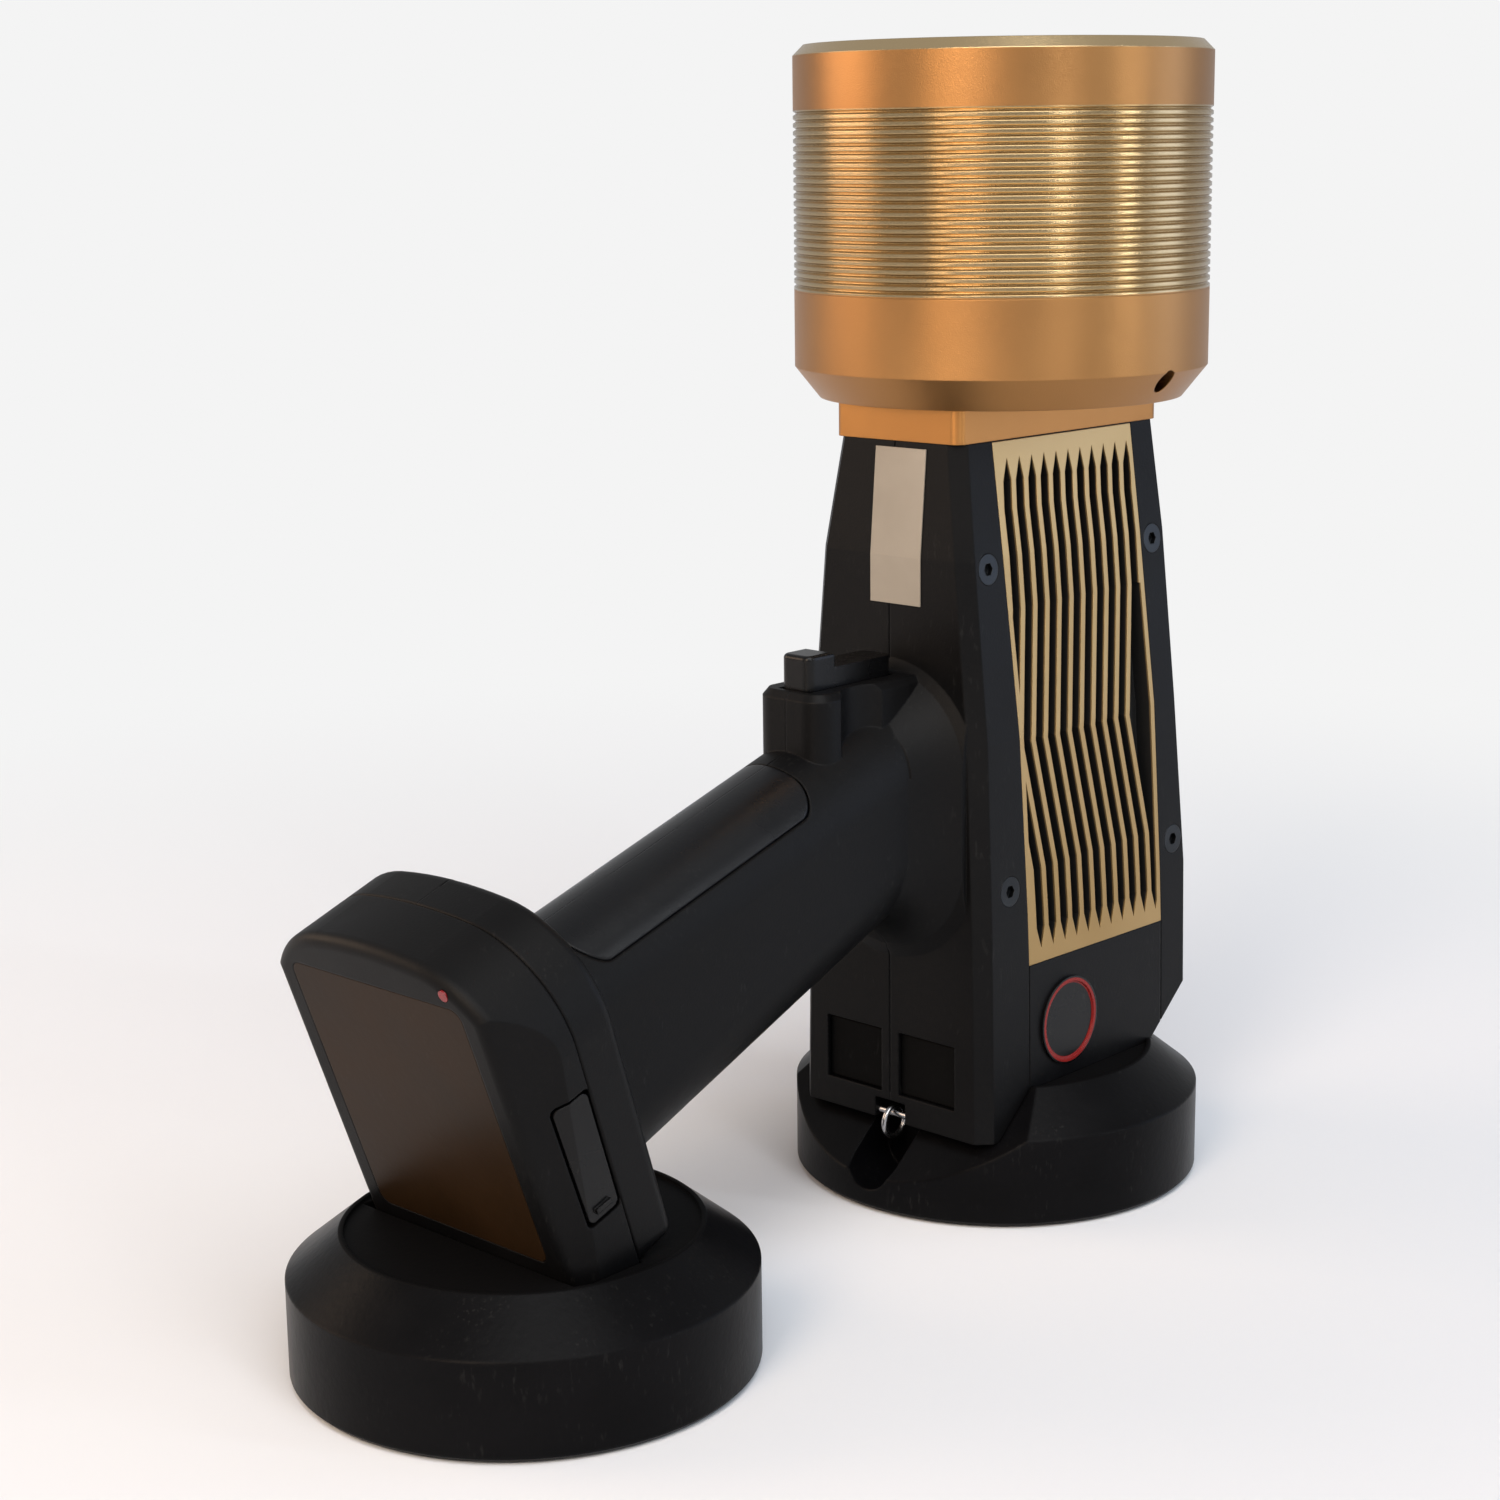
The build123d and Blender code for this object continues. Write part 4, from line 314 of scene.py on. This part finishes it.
def paintFoot(centre):
    def paint(tree, colour, rough, place):
        radius = radiusFrom(tree, place[0], place[1], (centre * mm, 0))
        soft = footLook["soft"] * mm
        inside = sums(tree, "SUBTRACT", 1.0, stepUp(tree, radius, footLook["shadedInside"] * mm, soft))
        high = stepUp(tree, place[2], footLook["level"] * mm, soft)
        # painted shade on the top inside the rim
        shadedInside = sums(tree, "MULTIPLY", inside, high)
        colour = mixColour(tree, shadedInside, colour, hexColour(footLook["colour"]))
        return colour, mixColour(tree, shadedInside, rough, [footLook["rough"]] * 3 + [1])
    return paint


# Chemically hardened cover glass, black behind. smear is the size of its finger marks, in mm
glassLook = dict(low="#07080A", high="#0B0D10", rough=(0.03, 0.14), smear=9, coat=0.6, coatRough=0.02)


def glassMaterial(name, look):
    material, tree, output = newMaterial(name)
    place, x, y, z = placeParts(tree)
    smear = addNode(tree, "TexNoise", {"Scale": 1 / (look["smear"] * mm), "Detail": 5.0, "Roughness": 0.7},
                    {"Vector": place})
    rough = colourRamp(tree, smear.outputs["Fac"], [(0.35, look["rough"][0]), (0.75, look["rough"][1])])
    colours = [(0.3, hexColour(look["low"])), (0.8, hexColour(look["high"]))]
    colour = colourRamp(tree, smear.outputs["Fac"], colours)
    coat = {"IOR": 1.5, "Coat Weight": look["coat"], "Coat Roughness": look["coatRough"]}
    shader = addNode(tree, "BsdfPrincipled", coat, {"Base Color": colour, "Roughness": rough})
    tree.links.new(shader.outputs["BSDF"], output.inputs["Surface"])
    return material


made = {name: mouldedMaterial(name, look) for name, look in moulded.items()}
made.update({name: metalMaterial(name, look) for name, look in metals.items()})
made["coverGlass"] = glassMaterial("coverGlass", glassLook)
made["shieldGold"] = metalMaterial("shieldGold", metals["blastedGold"], paintShield)
made["sinkGold"] = metalMaterial("sinkGold", metals["sinkBase"], paintSinkSlotShade)
made["badgeEnamel"] = mouldedMaterial("badgeEnamel", moulded["smoothAbs"], paintBadge)
made["barrelFootUrethane"] = mouldedMaterial("barrelFootUrethane", moulded["footUrethane"], paintFoot(0))
made["packFootUrethane"] = mouldedMaterial("packFootUrethane", moulded["footUrethane"],
                                           paintFoot(-footLook["spacing"]))
print("materials made:", len(made))

finishOf = {
    "texturedAbs": ["left_shell", "right_shell", "pack_case"],
    "gripElastomer": ["left_grip_pad", "right_grip_pad"],
    "smoothAbs": ["trigger", "trigger_switch", "pack_inner_plate", "left_pack_latch", "right_pack_latch",
                  "display_bezel", "power_button", "home_button", "back_button", "high_voltage_supply",
                  "nose_camera", "speaker"],
    "coverRubber": ["power_port_cover", "data_port_cover"],
    "badgeEnamel": ["left_badge", "right_badge"],
    "labelFilm": ["pack_label"],
    "barrelFootUrethane": ["barrel_foot"],
    "packFootUrethane": ["battery_foot"],
    "rubberSheet": ["barrel_foot_pad", "battery_foot_pad"],
    "whiteFilm": ["id_plate"],
    "redLens": ["charge_light"],
    "solderMask": ["button_board", "processor_board", "power_board"],
    "cellWrap": ["battery_cells"],
    "darkScreen": ["display_panel"],
    "polyimideFilm": ["window_ring"],
    "blastedGold": ["shield_base"],
    "shieldGold": ["shield_cover"],
    "noseGold": ["nose_block"],
    "sinkGold": ["left_heat_sink", "right_heat_sink"],
    "brightSteel": ["lanyard_ring", "lanyard_pin", "face_plate", "face_plate_screws", "chassis_plate",
                    "xray_tube", "detector", "filter_motor", "port_sockets", "trigger_spring",
                    "left_latch_spring", "right_latch_spring"],
    "oxideSteel": ["shell_screws", "shield_set_screw"],
    "platedBrass": ["filter_wheel", "dock_contacts"],
    "coverGlass": ["display_glass"],
}
for finish, names in finishOf.items():
    for name in names:
        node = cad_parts[name]
        node.data.materials.clear()
        node.data.materials.append(made[finish])
print("CAD nodes finished:", sum(len(names) for names in finishOf.values()))

# Printed symbols on the rear keys, in mm. face is the caps' outer face, along +X
keyLook = dict(face=42.0, height=56.0, print=0.05, line=0.45, radius=1.6, gapStart=125, gapEnd=415, steps=28,
               stemFoot=0.5, stemReach=0.3, sill=(0.6, 0.8),
               places={"power_key": -14.0, "home_key": 0.0, "back_key": 14.0})


def arcPoints(radius, start, end, steps):
    return [(radius * math.cos(math.radians(start + (end - start) * i / steps)),
             radius * math.sin(math.radians(start + (end - start) * i / steps))) for i in range(steps + 1)]


def strokeOutline(radius, line, start, end):
    # a curved stroke of one width, from one angle to another
    outer = arcPoints(radius + line / 2, start, end, keyLook["steps"])
    inner = arcPoints(radius - line / 2, end, start, keyLook["steps"])
    return outer + inner


def barOutline(x0, y0, x1, y1, line):
    along = Vector((x1 - x0, y1 - y0)).normalized() * line / 2
    side = Vector((-along.y, along.x))
    corners = [Vector((x0, y0)) - along + side, Vector((x0, y0)) - along - side,
               Vector((x1, y1)) + along - side, Vector((x1, y1)) + along + side]
    return [tuple(c) for c in corners]


def addPrint(name, outlines, face, centre, thickness, body, material):
    # flat printed shapes in a plane across X, centred at (y, z), standing proud by their thickness
    bm = bmesh.new()
    for outline in outlines:
        low = [bm.verts.new((face * mm, (centre[0] + a) * mm, (centre[1] + b) * mm)) for a, b in outline]
        base = bm.faces.new(low)
        top = bmesh.ops.extrude_face_region(bm, geom=[base])
        lifted = [v for v in top["geom"] if isinstance(v, bmesh.types.BMVert)]
        bmesh.ops.translate(bm, verts=lifted, vec=(thickness * mm, 0, 0))
    bmesh.ops.recalc_face_normals(bm, faces=bm.faces)
    mesh = bpy.data.meshes.new(name)
    bm.to_mesh(mesh)
    bm.free()
    mesh.materials.append(material)
    piece = bpy.data.objects.new(name, mesh)
    scene.collection.objects.link(piece)
    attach(piece, body)
    return piece


def addKeySymbols():
    r, line = keyLook["radius"], keyLook["line"]
    sillHalf, sillDrop = [share * r for share in keyLook["sill"]]
    symbols = {
        "power_key": [strokeOutline(r, line, keyLook["gapStart"], keyLook["gapEnd"]),
                      barOutline(0, keyLook["stemFoot"], 0, r + keyLook["stemReach"], line)],
        "home_key": [barOutline(-r, 0, 0, r, line), barOutline(0, r, r, 0, line),
                     barOutline(-sillHalf, -sillDrop, sillHalf, -sillDrop, line)],
        "back_key": [barOutline(-r, 0, 0, r, line), barOutline(-r, 0, 0, -r, line),
                     barOutline(-r, 0, r, 0, line)],
    }
    for body, outlines in symbols.items():
        centre = (keyLook["places"][body], keyLook["height"])
        addPrint("symbol_" + body, outlines, keyLook["face"], centre, keyLook["print"], body,
                 made["whiteFilm"])


addKeySymbols()
print("key symbols printed")

# Floor, light and camera. The floor fades to the plain background away from the part, in metres.
# lit is the sky that lights the part, mirrored how much of the plain background its metal reflects
stageLook = dict(floor="#E5E8ED", floorRough=0.85, plain="#F4F4F4", floorSize=60.0, fadeStart=0.16,
                 fadeLength=0.5, centre=(-0.07, 0.02), lit="#BFC3CA", litStrength=0.4, mirrored=0.4)


def makeFloor():
    mesh = bpy.data.meshes.new("floor")
    half = stageLook["floorSize"]
    corners = [(-half, -half, 0), (half, -half, 0), (half, half, 0), (-half, half, 0)]
    mesh.from_pydata(corners, [], [(0, 1, 2, 3)])
    floor = bpy.data.objects.new("floor", mesh)
    scene.collection.objects.link(floor)
    material, tree, output = newMaterial("paleFloor")
    place, x, y, z = placeParts(tree)
    radius = radiusFrom(tree, x, y, stageLook["centre"])
    far = stepUp(tree, radius, stageLook["fadeStart"], stageLook["fadeLength"])
    smooth = addNode(tree, "MapRange", {"interpolation_type": "SMOOTHSTEP"}, {"Value": far})
    path = addNode(tree, "LightPath")
    seen = sums(tree, "MULTIPLY", path.outputs["Is Camera Ray"], smooth.outputs["Result"])
    shader = addNode(tree, "BsdfPrincipled", {"Base Color": hexColour(stageLook["floor"]),
                                              "Roughness": stageLook["floorRough"]})
    plain = addNode(tree, "Emission", {"Color": hexColour(stageLook["plain"]), "Strength": 1.0})
    both = addNode(tree, "MixShader", {}, {0: seen, 1: shader.outputs[0], 2: plain.outputs[0]})
    tree.links.new(both.outputs[0], output.inputs["Surface"])
    mesh.materials.append(material)


def makeWorld():
    world = bpy.data.worlds.new("studio")
    scene.world = world
    world.use_nodes = True
    tree = world.node_tree
    tree.nodes.clear()
    output = addNode(tree, "OutputWorld")
    path = addNode(tree, "LightPath")
    mirrored = sums(tree, "MULTIPLY", path.outputs["Is Glossy Ray"], stageLook["mirrored"])
    clear = sums(tree, "MAXIMUM", mirrored, path.outputs["Is Transmission Ray"])
    seen = sums(tree, "MAXIMUM", path.outputs["Is Camera Ray"], clear)
    plain = addNode(tree, "Background", {"Color": hexColour(stageLook["plain"]), "Strength": 1.0})
    lit = addNode(tree, "Background", {"Color": hexColour(stageLook["lit"]),
                                       "Strength": stageLook["litStrength"]})
    both = addNode(tree, "MixShader", {}, {0: seen, 1: lit.outputs[0], 2: plain.outputs[0]})
    tree.links.new(both.outputs[0], output.inputs["Surface"])


# Softboxes: place, aim and size in metres, power in watts. The strips draw narrow lines on the metal
lamps = {
    "keyLamp": dict(place=(-1.15, -0.38, 0.75), aim=(-0.05, 0, 0.15),
                    size=(0.4, 0.8), power=8.5, colour="#FFE6CC"),
    "rimLamp": dict(place=(-0.8, 1.05, 0.55), aim=(-0.05, 0, 0.15),
                    size=(0.8, 0.6), power=7, colour="#FFDCBC"),
    "coolLamp": dict(place=(0.85, -0.75, 0.4), aim=(0, 0, 0.12),
                     size=(0.5, 0.7), power=2, colour="#C9DCFF"),
    "leftStrip": dict(place=(-0.95, -0.1, 0.45), aim=(0, 0, 0.2),
                      size=(0.05, 0.9), power=0.8, colour="#FFDDB0"),
    "middleStrip": dict(place=(-0.35, -1.0, 0.5), aim=(0, 0, 0.2),
                        size=(0.03, 0.9), power=1.2, colour="#FFFFFF"),
    "rightStrip": dict(place=(0.35, -1.0, 0.5), aim=(0, 0, 0.2),
                       size=(0.05, 0.9), power=1.8, colour="#F6FBFF"),
}
sunLook = dict(turn=(32, 8, -40), strength=1.9, spread=50)


def addLamp(name, look):
    data = bpy.data.lights.new(name, "AREA")
    data.shape = "RECTANGLE"
    data.size, data.size_y = look["size"]
    data.energy = look["power"]
    data.color = hexColour(look["colour"])[:3]
    lamp = bpy.data.objects.new(name, data)
    lamp.location = look["place"]
    lamp.rotation_euler = (Vector(look["aim"]) - lamp.location).to_track_quat("-Z", "Y").to_euler()
    scene.collection.objects.link(lamp)


def addSun():
    # even overhead light, so the floor has no bright patch
    data = bpy.data.lights.new("overhead", "SUN")
    data.energy = sunLook["strength"]
    data.angle = math.radians(sunLook["spread"])
    sun = bpy.data.objects.new("overhead", data)
    sun.rotation_euler = [math.radians(a) for a in sunLook["turn"]]
    scene.collection.objects.link(sun)


cameraLook = dict(place=(-0.4963, -0.3899, 0.2403), yaw=46.6, pitch=-12.55, roll=-0.745, lens=66.27)


def makeCamera():
    data = bpy.data.cameras.new("camera")
    data.sensor_width = 36
    data.sensor_fit = "HORIZONTAL"
    data.lens = cameraLook["lens"]
    data.clip_start = 0.01
    camera = bpy.data.objects.new("camera", data)
    turn = Matrix.Rotation(math.radians(-cameraLook["yaw"]), 4, "Z")
    tip = Matrix.Rotation(math.radians(90 + cameraLook["pitch"]), 4, "X")
    spin = Matrix.Rotation(math.radians(cameraLook["roll"]), 4, "Z")
    camera.matrix_world = Matrix.Translation(cameraLook["place"]) @ turn @ tip @ spin
    scene.collection.objects.link(camera)
    scene.camera = camera


makeFloor()
makeWorld()
for name, look in lamps.items():
    addLamp(name, look)
addSun()
makeCamera()
scene.view_settings.view_transform = "Standard"
print("stage, lamps and camera set")
